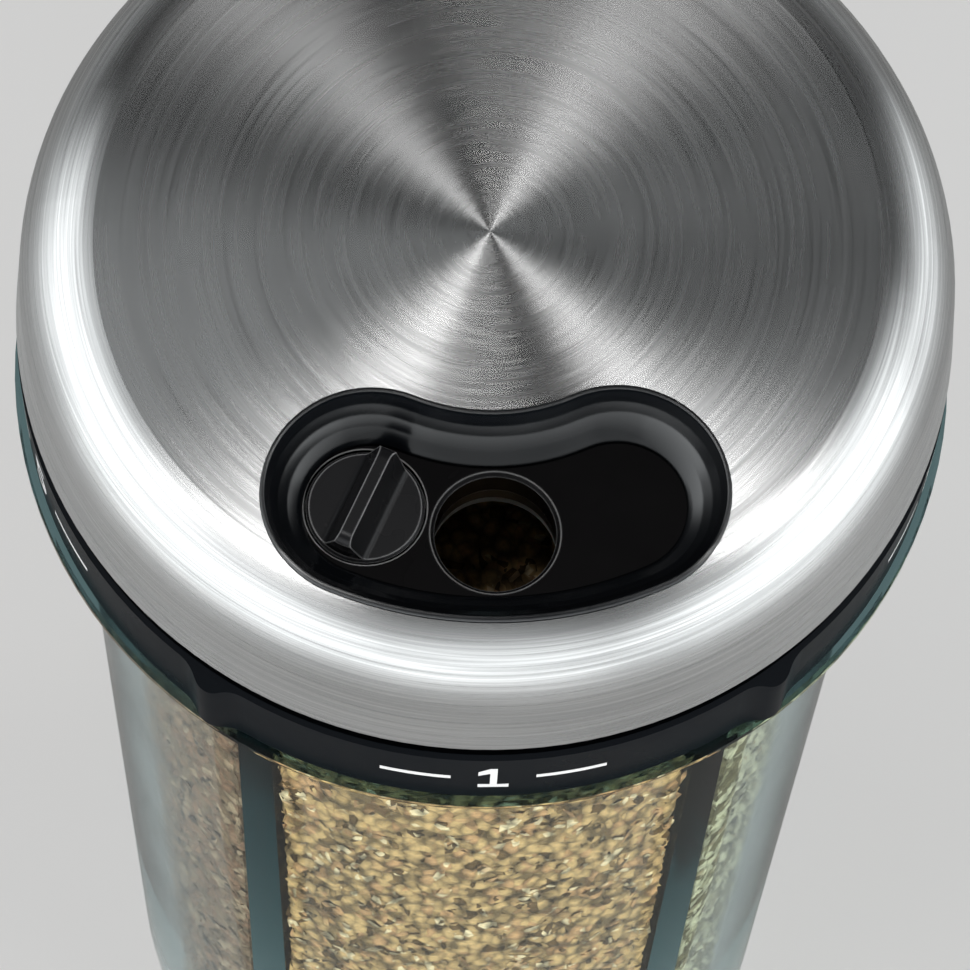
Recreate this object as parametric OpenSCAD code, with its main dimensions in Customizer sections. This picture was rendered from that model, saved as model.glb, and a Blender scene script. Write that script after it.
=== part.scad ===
// Five-compartment spice shaker dispenser.
// Frame: +Z up, origin at the centre of the foot, front panel and pouring window towards -Y.
// Heights ending in _z are measured from the foot. Azimuths turn from -Y towards +X.

/* [Jar] */
// Height of the top face of the jar's flange
jar_flange_z = 151.8; // [100:0.1:220]
// Outer radius of the clear body just under the flange
jar_r = 36.4; // [35:0.1:45]
// Narrowing of the body's outside from flange to foot
jar_taper = 0.7; // [0:0.1:1.5]
// Thickness of the outer wall at the flange
jar_wall = 2.6; // [2:0.1:3.2]
// Extra thickness of the outer wall at the floor, from the moulding draft
jar_wall_draft = 0.3; // [0:0.1:0.8]
// Thickness of the floor
jar_floor = 3.2; // [2:0.1:6]
// Width of the clear flange that the label collar sits on, out from the body
flange_w = 4.5; // [3.9:0.1:6]
// Thickness of the flange
flange_t = 1.5; // [1:0.1:3]
// Width of the bevels on the flange's edge
flange_bevel = 0.35; // [0.1:0.05:0.5]
// Radius of the fillet under the flange
flange_fillet = 1.6; // [0.4:0.1:3]
// Wall of the neck that rises inside the head
neck_wall = 1.7; // [1.6:0.1:2.2]
// Number of compartments
compartments = 5; // [3:1:5]
// Thickness of the dividers at the top
divider_top_t = 3.3; // [1.6:0.1:4]
// Thickness of the dividers at the floor, more by the moulding draft
divider_foot_t = 4.4; // [1.6:0.1:6]
// Radius of the solid post where the dividers meet
post_r = 4.6; // [3:0.1:7]
// Radius inside the bottom corners of a compartment
compartment_fillet = 4; // [1:0.5:8]
// Depth of the hollow under the foot
foot_hollow = 1.8; // [0.5:0.1:2.5]
// Width of the ring that the jar stands on
foot_ring_w = 3.4; // [2:0.1:8]
// Radius of the rounded edge round the foot
foot_edge_r = 2.2; // [0.5:0.1:3]

/* [Filling] */
// Space between the herbs and the walls round them
fill_gap = 0.15; // [0.05:0.05:0.5]
// Depth of each filling below the jar's mouth, front first, then anticlockwise from above
fill_depths = [10, 9, 11, 12, 10];
// Slope of the settled herbs in degrees
fill_tilt = 3; // [0:0.5:4]

/* [Head] */
// Height of the label collar's wall
collar_h = 9.7; // [8:0.1:14]
// Depth of the label collar, from the mouth plate's edge to its own face
collar_depth = 3.32; // [2.9:0.02:4]
// Thickness of the label collar's walls and top
collar_wall = 1.4; // [1:0.1:1.6]
// Bevel along the collar's top edge
collar_bevel = 0.4; // [0.1:0.1:0.8]
// How far the grip nubs stand out of the collar
nub_rise = 1.0; // [0.4:0.1:2]
// Radius of a nub's rounded crest
nub_crest_r = 2.0; // [1:0.1:4]
// Radius of the hollow beside a nub
nub_flank_r = 4.0; // [1:0.1:8]
// Number of stiffening ribs inside the collar for each compartment
ribs_per_panel = 4; // [1:1:6]
// Thickness of the skirt that slides over the jar's neck
skirt_t = 1.2; // [1:0.1:1.4]
// Thickness of the plate with the mouths
mouth_plate_t = 2.0; // [1.8:0.1:4]
// Radius of each compartment's mouth
mouth_r = 6.5; // [5.5:0.1:8]
// Distance of the mouths' centres in from the jar's bore
mouth_inset = 8.8; // [8:0.1:10]
// Thickness of the gasket between jar and mouth plate
gasket_t = 1.0; // [0.6:0.1:2]
// Height of the jar's mouth above the collar's top edge
neck_above_collar = 3.3; // [1:0.1:6]
// Radius of the key rib that lines the head up with the compartments
key_r = 1.0; // [0.6:0.1:1.2]
// Radius of the pivot post in the middle of the mouth plate
pivot_r = 4.5; // [3.5:0.1:4.8]
// Radius of a click notch in the mouth plate's edge
notch_r = 1.2; // [0.6:0.1:1.8]

/* [Lid] */
// How far the steel cap's lower edge stands in from the collar's face
cap_inset = 0.1; // [-0.5:0.1:0.3]
// Height of the cap's crown above the selector's top face
crown_rise = 4.2; // [4.2:0.2:4.4]
// Height of the cap's lower edge above the collar's top edge
cap_gap = 2.2; // [1.2:0.1:2.6]
// Lean of the cap's side wall in degrees
cap_lean = 5.5; // [3:0.5:6]
// Radius of the cap's rounded shoulder
shoulder_r = 7.2; // [6:0.1:7.6]
// Radius of the gently domed crown
crown_r = 780; // [600:10:1500]
// Thickness of the steel
steel_t = 0.6; // [0.4:0.1:0.8]
// Height of the folded hem at the cap's lower edge
hem_h = 1.1; // [0.6:0.1:2]
// Thickness that the hem adds inside
hem_t = 0.3; // [0.2:0.1:0.5]
// Thickness of the lid core under the steel
core_t = 1.8; // [1.2:0.1:2.2]
// Height of the rim that the lid core stands on, above the lid base
core_seat_h = 1.7; // [1:0.1:2.4]
// Thickness of the lid base
base_t = 2.0; // [1.8:0.1:2.4]
// Thickness of the sealing disc under the lid base
seal_t = 1.2; // [0.8:0.1:1.6]
// Height of the sealing disc's lips
seal_lip_h = 0.3; // [0.1:0.1:0.5]
// Number of screws that hold the lid core to the lid base
lid_screw_count = 3; // [3:2:5]
// Distance of the lid screws out from the selector's track
lid_screw_inset = 2.2; // [2.1:0.1:2.4]
// Shank radius of a lid screw
lid_screw_r = 1.0; // [0.8:0.1:1.2]

/* [Pouring window] */
// Half of the window's width at the steel
window_half_w = 9.05; // [9:0.05:9.3]
// Angle between the centres of the window's round ends
window_sweep = 47.6; // [30:0.2:50]
// Width of the raised lip round the window
lip_w = 0.35; // [0.25:0.1:0.35]
// Height of the lip above the steel
lip_rise = 0.3; // [0.1:0.05:0.5]
// Half of the window's width at its floor
window_floor_half_w = 5.6; // [5.3:0.1:5.8]
// Width and height of the bevel at the foot of the window's wall
window_foot = 0.4; // [0.2:0.2:0.4]
// Radius of the hollow curve of the window's wall
window_dish_r = 7; // [7:1:8]
// Thickness of the window's wall
window_wall = 1.5; // [1:0.1:1.8]

/* [Selector] */
// Thickness of the selector disc's running track
selector_t = 3.2; // [3:0.1:3.4]
// Thickness of the selector disc's web
selector_web_t = 1.8; // [1.4:0.1:2.2]
// Width of the selector's track outside the pour port's centre
track_out_w = 7.8; // [7.2:0.1:8]
// Width of the selector's track inside the pour port's centre
track_in_w = 7.3; // [6:0.1:8]
// Radius of the pour port
port_r = 5.0; // [4:0.1:5.1]
// Angle from the grip to the pour port, and from the grip to the shaker holes
port_step = 25; // [24.5:0.5:27]
// Bevel round the pour port
port_bevel = 0.35; // [0.1:0.05:0.6]
// Radius of a shaker hole
shaker_hole_r = 1.1; // [0.6:0.1:1.3]
// Radius of the ring of shaker holes
shaker_ring_r = 3.1; // [2.8:0.1:3.4]
// Radius of the round grip button
grip_r = 4.85; // [4.4:0.05:4.9]
// Depth of the seat that the grip button is pressed into
grip_seat = 1.4; // [0.8:0.1:1.6]
// Width of the groove round the grip button
grip_groove = 0.2; // [0.1:0.05:0.3]
// Height of the grip's fin above the button
fin_h = 2.7; // [1.5:0.1:3]
// Width of the fin's top
fin_top_w = 1.05; // [0.8:0.05:2]
// Width that each flank of the fin takes
fin_flank_w = 1.2; // [0.5:0.05:1.4]
// Radius of the fillets along the fin's foot
fin_fillet = 0.6; // [0.2:0.05:0.7]
// Radius of the rounded corners at the fin's two ends
fin_end_r = 1.3; // [0.4:0.1:1.4]

/* [Fits] */
// Radial play of a turning or sliding fit
running_gap = 0.08; // [0.04:0.01:0.1]
// Height between faces that turn past each other
face_gap = 0.1; // [0.06:0.01:0.15]
// Play of a piece that sits in a seat of its own body
seat_gap = 0.05; // [0.02:0.01:0.1]
// Radial play of a screw in its clearance hole
screw_gap = 0.1; // [0.05:0.05:0.2]

/* [Hidden] */

$fn = 96;
fine_fn = 256;       // segments of the crown's very large circle
back_azimuth = 180;
cut = 0.5;           // overshoot of a cut past the face it opens
eps_w = 0.02;        // overlap that joins two cuts
join_step = 0.01;    // height of the step where two faces of the cap meet

// Jar levels and radii
sector = 360 / compartments;
jar_foot_r = jar_r - jar_taper;
bore_top_r = jar_r - jar_wall;
bore_foot_r = jar_foot_r - jar_wall - jar_wall_draft;
neck_r = bore_top_r + neck_wall;
flange_r = jar_r + flange_w;
pitch_r = bore_top_r - mouth_inset;  // circle of the mouths, the pour port and the window
collar_z = jar_flange_z + face_gap;
collar_top_z = collar_z + collar_h;
jar_top_z = collar_top_z + neck_above_collar;

// Head levels and radii
gasket_z = jar_top_z + face_gap;
mouth_plate_z = gasket_z + gasket_t;
mouth_top_z = mouth_plate_z + mouth_plate_t;
skirt_in_r = neck_r + running_gap;
mouth_plate_r = skirt_in_r + skirt_t;
collar_r = mouth_plate_r + collar_depth;
ledge_lift = 1.1;                    // height of that ledge above the collar's foot
ledge_h = 0.9;                       // thickness of the ledge on the skirt under the collar
ledge_w = 1.2;                       // how far the ledge stands out
ledge_z = collar_z + ledge_lift;
key_groove_r = key_r + running_gap;
window_margin = 1.6;                 // rubber left round each opening of the gasket
spoke_w = divider_top_t + window_margin;

// Lid levels and radii
cap_r = collar_r - cap_inset;
cap_z = collar_top_z + cap_gap;
lid_skirt_lift = 0.3;                // lid skirt above the collar
lid_skirt_gap = 0.5;                 // lid skirt round the mouth plate
lid_skirt_z = collar_top_z + lid_skirt_lift;
lid_skirt_in_r = mouth_plate_r + lid_skirt_gap;
base_z = mouth_top_z + face_gap + seal_t;
base_top_z = base_z + base_t;
core_seat_z = base_top_z + core_seat_h;
selector_z = base_top_z + face_gap;
selector_top_z = selector_z + selector_t;
cap_h = selector_top_z + crown_rise - cap_z;
core_under_z = cap_z + cap_h - steel_t - core_t;
hub_r = 9;                           // boss that the selector turns on
hub_h = 2.2;
hub_top_z = base_top_z + hub_h;
bush_wall = 1.4;
bush_r = pivot_r + running_gap + bush_wall;
bush_flange_w = 1.5;
bush_flange_r = bush_r + bush_flange_w;
bush_flange_t = 0.6;
outlet_r = port_r + 0.2;             // hole under the pour port, a little wider
ring_groove_wall = 0.6;
ring_groove_in_r = outlet_r + ring_groove_wall;
ring_groove_w = 1.4;
ring_groove_d = 0.8;
seal_hub_gap = 1.4;                  // sealing disc's bore round the bush
seal_margin = 2.6;                   // rubber outside the mouths
seal_lip_w = 1.3;
seal_in_r = bush_r + seal_hub_gap;
seal_out_r = pitch_r + mouth_r + seal_margin;
seal_fence_w = 0.9;                  // wall round the sealing disc
lid_head_r = 1.7;                    // lid screw's head
lid_head_h = 1.1;
lid_driver_l = 2.0;                  // cross recess in that head
lid_driver_d = 0.6;
lid_post_r = 2.0;                    // post in the lid core that takes a lid screw
lid_screw_len = 6;
screw_end_gap = 0.3;                 // depth left below a lid screw's end
core_rib_t = 1.2;
core_rib_step = 30;                  // angle between ribs

// Centre screw and washer
washer_z = hub_top_z + face_gap;     // also the top of the pivot post
washer_t = 0.6;
washer_r = 8;
centre_shank_r = 1.5;
centre_head_r = 4;
centre_head_top_r = 3.2;
centre_head_h = 2;
centre_driver_l = 4.2;               // cross recess in that head
centre_driver_d = 1.2;
centre_floor_t = 0.8;                // plate left under the screw's hole
centre_shank_l = washer_z - mouth_plate_z - centre_floor_t;

// Click spring
leaf_t = 0.25;
leaf_l = 14.8;
leaf_h = mouth_plate_t - 3 * face_gap;
nib_r = 1.0;
nib_rise = 0.25;                     // how far the nib stands in from the leaf
leaf_y = mouth_plate_r + running_gap + nib_rise;
leaf_z = mouth_plate_z + face_gap;

// Selector radii
selector_r = pitch_r + track_out_w;
selector_bore_r = hub_r + running_gap;
selector_hub_w = 1.9;
track_in_r = pitch_r - track_in_w;
track_gap = 0.3;                     // rim of the lid base to the selector's edge
lid_screw_pitch_r = selector_r + track_gap + lid_screw_inset;
hub_ring_r = selector_bore_r + selector_hub_w;
stop_r = (hub_ring_r + track_in_r) / 2;
stop_pin_r = 1.2;
stop_pin_drop = 0.6;                 // pin's end below the selector's top
stop_slot_r = stop_pin_r + running_gap;
selector_travel = 2 * port_step;
grip_proud = 0.12;
grip_edge = 0.25;                    // bevel round the button
grip_pin_r = 1.5;
fin_root = 0.2;                      // depth of the fin inside the button

// Pouring window
window_floor_z = selector_top_z + face_gap;
window_top_z = cap_z + cap_h + lip_rise + cut;
lip_z = cap_z + cap_h - crown_r + sqrt(crown_r * crown_r - pitch_r * pitch_r);  // crown over it
dish_steps = 4;                      // flats that make the hollow curve
lip_out_w = window_half_w - seat_gap;
lip_in_w = lip_out_w - lip_w;

// Cap section: a straight leaning side, a round shoulder and a domed crown, all tangent.
side_up = [-sin(cap_lean), cos(cap_lean)];
side_in = [-cos(cap_lean), -sin(cap_lean)];
crown_c = [0, cap_h - crown_r];
from_crown = [cap_r, 0] + shoulder_r * side_in - crown_c;
along = from_crown * side_up;
side_len = sqrt(along * along - from_crown * from_crown + pow(crown_r - shoulder_r, 2)) - along;
shoulder_c = [cap_r, 0] + side_len * side_up + shoulder_r * side_in;
crown_dir = (shoulder_c - crown_c) / norm(shoulder_c - crown_c);

// Points along the arc of radius r from a to b, hollow towards the upper left.
function arc_points(a, b, r, steps) =
    let (
        chord = norm(b - a),
        along = (b - a) / chord,
        centre = (a + b) / 2 + sqrt(r * r - chord * chord / 4) * [-along.y, along.x],
        start = atan2(a.y - centre.y, a.x - centre.x),
        end = atan2(b.y - centre.y, b.x - centre.x)
    )
    [for (i = [0 : steps]) let (t = start + (end - start) * i / steps) centre + r * [cos(t), sin(t)]];

function cap_side_r(inset, z) = cap_r - inset / cos(cap_lean) - (z - cap_z) * tan(cap_lean);

module at_azimuth(a) {
    rotate([0, 0, a]) children();
}

module around(count, start = 0) {
    for (i = [0 : count - 1]) at_azimuth(start + i * 360 / count) children();
}

module tube(r_out, r_in, h) {
    difference() {
        cylinder(h = h, r = r_out);
        translate([0, 0, -cut]) cylinder(h = h + 2 * cut, r = r_in);
    }
}

// Half section of the cap's form, moved in by inset, from the cap's lower edge up. The side and the
// crown stand in by join_step, so that they cross the shoulder's circle instead of touching it.
module cap_section(inset) {
    foot = [cap_r - (inset + join_step) / cos(cap_lean), 0];
    side_top = shoulder_c - (shoulder_r - inset - join_step) * side_in;
    crown_end = shoulder_c + (shoulder_r - inset) * crown_dir;
    above = cap_h + cut;
    intersection() {
        union() {
            polygon([
                [0, 0], foot, side_top, shoulder_c, crown_end, [crown_end.x, above], [0, above]
            ]);
            translate(shoulder_c) circle(r = shoulder_r - inset);
        }
        translate(crown_c) circle(r = crown_r - inset - join_step, $fn = fine_fn);
        square([cap_r + cut, above]);
    }
}

module cap_form(inset) {
    translate([0, 0, cap_z]) rotate_extrude() cap_section(inset);
}

// A band along the circle of radius mid_r with round ends. Its section is given by the points of
// one side, from low to high, each as [half width, height].
module bean_form(mid_r, sweep, side_points) {
    last = len(side_points) - 1;
    rotate([0, 0, -90 - sweep / 2])
        rotate_extrude(angle = sweep)
            polygon(concat(
                [for (p = side_points) [mid_r + p.x, p.y]],
                [for (i = [last : -1 : 0]) [mid_r - side_points[i].x, side_points[i].y]]
            ));
    for (side = [-1, 1])
        at_azimuth(side * sweep / 2)
            translate([0, -mid_r, 0])
                rotate([0, 0, -side * 90])
                    rotate_extrude(angle = 180)
                        polygon(concat(
                            [[0, side_points[0].y]], side_points, [[0, side_points[last].y]]
                        ));
}

module window_form(low_w, high_w, low_z, high_z) {
    bean_form(pitch_r, window_sweep, [[low_w, low_z], [high_w, high_z]]);
}

// ---------------------------------------------------------------- jar

// Half section of the space in the jar, between the post and the wall.
module bore_section() {
    f = compartment_fillet;
    top_z = jar_top_z + cut;
    translate([post_r + f, jar_floor + f]) circle(r = f);
    translate([bore_foot_r - f, jar_floor + f]) circle(r = f);
    translate([post_r + f, jar_floor]) square([bore_foot_r - post_r - 2 * f, 2 * f]);
    polygon([
        [post_r, jar_floor + f], [bore_foot_r, jar_floor + f], [bore_top_r, jar_top_z],
        [bore_top_r, top_z], [post_r, top_z]
    ]);
}

// Half section of the same space less the fill gap, with bevels inside the rounded corners.
module fill_section() {
    in_r = post_r + fill_gap;
    out_r = bore_foot_r - fill_gap;
    f = compartment_fillet;
    polygon([
        [in_r + f, jar_floor], [out_r - f, jar_floor], [out_r, jar_floor + f],
        [bore_top_r - fill_gap, jar_top_z], [in_r, jar_top_z], [in_r, jar_floor + f]
    ]);
}

// The crossed dividers, each a wedge that thickens towards the floor.
module dividers(extra) {
    foot_w = divider_foot_t / 2 + extra;
    top_w = divider_top_t / 2 + extra;
    around(compartments, sector / 2)
        rotate([90, 0, 0])
            linear_extrude(jar_r)
                polygon([[-foot_w, 0], [foot_w, 0], [top_w, jar_top_z], [-top_w, jar_top_z]]);
}

module jar_body() {
    flange_low_z = jar_flange_z - flange_t;
    color([0.72, 0.80, 0.79, 0.45])
        difference() {
            union() {
                cylinder(h = flange_low_z, r1 = jar_foot_r, r2 = jar_r);
                rotate_extrude() flange_section();
                cylinder(h = jar_top_z, r = neck_r);
            }
            difference() {
                rotate_extrude() bore_section();
                dividers(0);
            }
            foot_cuts();
            at_azimuth(back_azimuth)
                translate([0, -skirt_in_r, jar_flange_z + ledge_h])
                    cylinder(h = jar_top_z, r = key_groove_r);
        }
}

module flange_section() {
    low_z = jar_flange_z - flange_t;
    in_r = neck_r - neck_wall / 2;
    b = flange_bevel;
    difference() {
        union() {
            polygon([
                [in_r, low_z], [flange_r - b, low_z], [flange_r, low_z + b],
                [flange_r, jar_flange_z - b], [flange_r - b, jar_flange_z], [in_r, jar_flange_z]
            ]);
            translate([in_r, low_z - flange_fillet])
                square([jar_r + flange_fillet - in_r, flange_fillet + b]);
        }
        translate([jar_r + flange_fillet, low_z - flange_fillet]) circle(r = flange_fillet);
    }
}

// The rounded edge round the foot and the hollow inside the ring that it stands on.
module foot_cuts() {
    e = foot_edge_r;
    rotate_extrude()
        difference() {
            translate([jar_foot_r - e, -cut]) square([e + jar_taper + cut, e + cut]);
            translate([jar_foot_r - e, e]) circle(r = e);
        }
    translate([0, 0, -cut])
        cylinder(h = foot_hollow + cut, r = jar_foot_r - e - foot_ring_w);
}

module herb_fill(i) {
    top_z = jar_top_z - fill_depths[i];
    color([[0.62, 0.53, 0.36], [0.78, 0.71, 0.53], [0.50, 0.42, 0.22],
           [0.55, 0.25, 0.14], [0.47, 0.40, 0.31]][i])
        at_azimuth(i * sector)
            difference() {
                intersection() {
                    rotate_extrude() fill_section();
                    linear_extrude(jar_top_z) wedge();
                }
                at_azimuth(-i * sector) dividers(fill_gap);
                translate([0, -pitch_r, top_z])
                    rotate([0, fill_tilt * (i % 2 == 0 ? 1 : -1), 0])
                        translate([-jar_r, -jar_r, 0]) cube([2 * jar_r, 2 * jar_r, jar_r]);
            }
}

module wedge() {
    half_w = jar_r * tan(sector / 2);
    polygon([[0, 0], [-half_w, -jar_r], [half_w, -jar_r]]);
}

// ---------------------------------------------------------------- head

module jar_gasket() {
    window_in_r = post_r + window_margin;
    window_out_r = bore_top_r - window_margin;
    color([0.80, 0.80, 0.78])
        translate([0, 0, gasket_z])
            difference() {
                linear_extrude(gasket_t)
                    difference() {
                        circle(r = neck_r);
                        difference() {
                            circle(r = window_out_r);
                            circle(r = window_in_r);
                            around(compartments, sector / 2)
                                translate([-spoke_w / 2, -jar_r]) square([spoke_w, jar_r]);
                        }
                    }
                key_cut();
            }
}

module key_cut() {
    at_azimuth(back_azimuth)
        translate([0, -skirt_in_r, -cut]) cylinder(h = jar_top_z, r = key_groove_r);
}

module mouth_plate() {
    color([0.06, 0.06, 0.065])
        difference() {
            union() {
                translate([0, 0, mouth_plate_z]) cylinder(h = mouth_plate_t, r = mouth_plate_r);
                translate([0, 0, ledge_z])
                    tube(mouth_plate_r, skirt_in_r, mouth_plate_z - ledge_z + cut);
                translate([0, 0, ledge_z]) tube(mouth_plate_r + ledge_w, skirt_in_r, ledge_h);
                translate([0, 0, mouth_top_z - cut])
                    cylinder(h = washer_z - mouth_top_z + cut, r = pivot_r);
                at_azimuth(back_azimuth)
                    translate([0, -skirt_in_r, ledge_z])
                        cylinder(h = mouth_plate_z - ledge_z, r = key_r);
            }
            around(compartments)
                translate([0, -pitch_r, mouth_plate_z - cut])
                    cylinder(h = mouth_plate_t + 2 * cut, r = mouth_r);
            around(compartments, back_azimuth)
                translate([0, -mouth_plate_r - notch_r / 2, mouth_plate_z - gasket_t])
                    cylinder(h = mouth_plate_t + 2 * gasket_t, r = notch_r);
            translate([0, 0, washer_z - centre_shank_l])
                cylinder(h = centre_shank_l + cut, r = centre_shank_r);
        }
}

// Plan of the collar's outside: a circle with nubs whose hollow flanks run into it.
module collar_plan() {
    crest_d = collar_r + nub_rise - nub_crest_r;
    flank_d = collar_r + nub_flank_r;
    reach = nub_crest_r + nub_flank_r;
    flank_a = acos((crest_d * crest_d + flank_d * flank_d - reach * reach) / (2 * crest_d * flank_d));
    circle(r = collar_r);
    around(compartments, sector / 2)
        difference() {
            union() {
                polygon([
                    [0, 0], -flank_d * [sin(flank_a), cos(flank_a)],
                    [0, -crest_d], flank_d * [sin(flank_a), -cos(flank_a)]
                ]);
                translate([0, -crest_d]) circle(r = nub_crest_r);
            }
            for (side = [-1, 1])
                translate(flank_d * [side * sin(flank_a), -cos(flank_a)]) circle(r = nub_flank_r);
        }
}

module label_collar() {
    inner_z = ledge_z + ledge_h;
    channel_in_r = mouth_plate_r + collar_wall;
    channel_out_r = collar_r - collar_wall;
    outermost = collar_r + nub_rise + cut;
    bevel_foot_z = collar_top_z - collar_bevel - (outermost - collar_r);
    color([0.045, 0.045, 0.05]) {
        difference() {
            intersection() {
                translate([0, 0, collar_z]) linear_extrude(collar_h) collar_plan();
                rotate_extrude()
                    polygon([
                        [0, 0], [outermost, 0], [outermost, bevel_foot_z],
                        [collar_r - collar_bevel, collar_top_z], [0, collar_top_z]
                    ]);
            }
            translate([0, 0, collar_z - cut]) cylinder(h = collar_h + 2 * cut, r = mouth_plate_r);
            translate([0, 0, collar_z - cut])
                cylinder(h = inner_z - collar_z + cut, r = channel_in_r);
            difference() {
                translate([0, 0, collar_z - cut])
                    tube(channel_out_r, channel_in_r, collar_h - collar_wall + cut);
                collar_ribs(inner_z);
            }
        }
    }
}

module collar_ribs(low_z) {
    step = sector / ribs_per_panel;
    around(compartments * ribs_per_panel, step / 2)
        translate([-collar_wall / 2, -collar_r, low_z])
            cube([collar_wall, collar_r, collar_h]);
}

module thrust_washer() {
    color([0.86, 0.85, 0.80])
        translate([0, 0, washer_z]) tube(washer_r, centre_shank_r + seat_gap, washer_t);
}

module centre_screw() {
    head_z = washer_z + washer_t;
    color([0.70, 0.71, 0.72])
        difference() {
            union() {
                translate([0, 0, head_z])
                    cylinder(h = centre_head_h, r1 = centre_head_r, r2 = centre_head_top_r);
                translate([0, 0, head_z - centre_shank_l])
                    cylinder(h = centre_shank_l + cut, r = centre_shank_r);
            }
            cross_recess(head_z + centre_head_h, centre_driver_l, centre_driver_d);
        }
}

// Cross-shaped driver recess, cut down from a screw head's top.
module cross_recess(top_z, length, depth) {
    for (a = [0, 90])
        rotate([0, 0, a])
            translate([-length / 2, -length / 8, top_z - depth])
                cube([length, length / 4, depth + cut]);
}

// ---------------------------------------------------------------- lid

module pivot_bush() {
    color([0.88, 0.87, 0.82])
        difference() {
            union() {
                translate([0, 0, base_z]) cylinder(h = hub_top_z - base_z, r = bush_r);
                translate([0, 0, hub_top_z - bush_flange_t])
                    cylinder(h = bush_flange_t, r = bush_flange_r);
            }
            translate([0, 0, base_z - cut])
                cylinder(h = hub_top_z, r = pivot_r + running_gap);
        }
}

module lid_base() {
    side_r = cap_side_r(steel_t + hem_t, cap_z);
    seat_side_r = cap_side_r(steel_t + hem_t, core_seat_z);
    color([0.05, 0.05, 0.055])
        difference() {
            union() {
                rotate_extrude()
                    polygon([
                        [bush_r, base_z], [seal_out_r, base_z],
                        [seal_out_r, base_z - seal_t + seal_lip_h],
                        [seal_out_r + seal_fence_w, base_z - seal_t + seal_lip_h],
                        [seal_out_r + seal_fence_w, base_z], [lid_skirt_in_r, base_z],
                        [lid_skirt_in_r, lid_skirt_z], [side_r, lid_skirt_z], [side_r, cap_z],
                        [seat_side_r, core_seat_z], [selector_r + track_gap, core_seat_z],
                        [selector_r + track_gap, base_top_z], [hub_r, base_top_z],
                        [hub_r, hub_top_z], [bush_r, hub_top_z]
                    ]);
                at_azimuth(back_azimuth)
                    translate([0, -stop_r, base_top_z - cut])
                        cylinder(h = selector_t - stop_pin_drop + cut, r = stop_pin_r);
            }
            translate([0, 0, hub_top_z - bush_flange_t])
                cylinder(h = bush_flange_t + cut, r = bush_flange_r);
            translate([0, -pitch_r, base_z - cut]) cylinder(h = base_t + 2 * cut, r = outlet_r);
            outlet_groove();
            around(lid_screw_count, back_azimuth) lid_screw_holes();
            click_pocket();
        }
}

module outlet_groove() {
    translate([0, -pitch_r, base_top_z - ring_groove_d])
        tube(ring_groove_in_r + ring_groove_w, ring_groove_in_r, ring_groove_d + cut);
}

module lid_screw_holes() {
    translate([0, -lid_screw_pitch_r, base_z - seal_t]) {
        cylinder(h = seal_t + lid_head_h, r = lid_head_r + screw_gap);
        cylinder(h = core_seat_z, r = lid_screw_r + screw_gap);
    }
}

// Pocket in the lid base's skirt, where the click spring bears on the mouth plate's edge.
module click_pocket() {
    back_r = norm([leaf_l / 2, leaf_y + leaf_t]);
    at_azimuth(back_azimuth)
        intersection() {
            translate([0, 0, leaf_z]) cylinder(h = base_z - leaf_z, r = back_r);
            translate([-leaf_l / 2, -leaf_y - back_r, leaf_z]) cube([leaf_l, back_r, base_z]);
        }
}

module click_spring() {
    color([0.75, 0.76, 0.78])
        at_azimuth(back_azimuth)
            translate([0, 0, leaf_z])
                linear_extrude(leaf_h) {
                    translate([-leaf_l / 2, -leaf_y - leaf_t]) square([leaf_l, leaf_t]);
                    intersection() {
                        translate([0, -leaf_y - nib_r + nib_rise]) circle(r = nib_r);
                        translate([-nib_r, -leaf_y - leaf_t / 2]) square([2 * nib_r, nib_r]);
                    }
                }
}

module sealing_disc() {
    low_z = base_z - seal_t;
    hole_r = outlet_r + 2 * seat_gap;
    color([0.78, 0.78, 0.76])
        difference() {
            union() {
                translate([0, 0, low_z + seal_lip_h]) tube(seal_out_r, seal_in_r, seal_t - seal_lip_h);
                for (r = [seal_in_r + seal_lip_w, pitch_r - mouth_r - seal_lip_w, seal_out_r])
                    translate([0, 0, low_z]) tube(r, r - seal_lip_w, seal_lip_h);
                translate([0, -pitch_r, low_z]) cylinder(h = seal_lip_h, r = hole_r + seal_lip_w);
            }
            translate([0, -pitch_r, low_z - cut]) cylinder(h = seal_t + 2 * cut, r = hole_r);
        }
}

module outlet_ring() {
    color([0.80, 0.80, 0.78])
        translate([0, -pitch_r, base_top_z - ring_groove_d])
            tube(
                ring_groove_in_r + ring_groove_w - seat_gap, ring_groove_in_r + seat_gap,
                ring_groove_d + face_gap / 2
            );
}

module lid_core() {
    color([0.03, 0.03, 0.035])
        difference() {
            union() {
                core_shell();
                intersection() {
                    window_form(lip_out_w, lip_out_w, core_under_z, window_top_z);
                    cap_form(-lip_rise);
                }
            }
            window_space();
            around(lid_screw_count, back_azimuth)
                translate([0, -lid_screw_pitch_r, base_z])
                    cylinder(h = lid_screw_len + screw_end_gap, r = lid_screw_r);
        }
}

// The core's domed shell with the window's wall, the screw posts and ribs that stop short of the
// centre screw.
module core_shell() {
    difference() {
        cap_form(steel_t);
        cylinder(h = core_seat_z, r = cap_r);
        difference() {
            cap_form(steel_t + core_t);
            window_wall_form();
            around(lid_screw_count, back_azimuth)
                translate([0, -lid_screw_pitch_r, 0]) cylinder(h = 2 * jar_flange_z, r = lid_post_r);
            core_ribs();
        }
    }
}

module core_ribs() {
    low_z = core_under_z - core_rib_t;
    for (a = [2 * core_rib_step : core_rib_step : 360 - 2 * core_rib_step])
        at_azimuth(a)
            translate([-core_rib_t / 2, -cap_r, low_z]) cube([core_rib_t, cap_r - washer_r, cap_h]);
}

module window_wall_form() {
    window_form(
        window_floor_half_w + window_foot + window_wall, lip_out_w + window_wall,
        window_floor_z, window_top_z
    );
}

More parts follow.
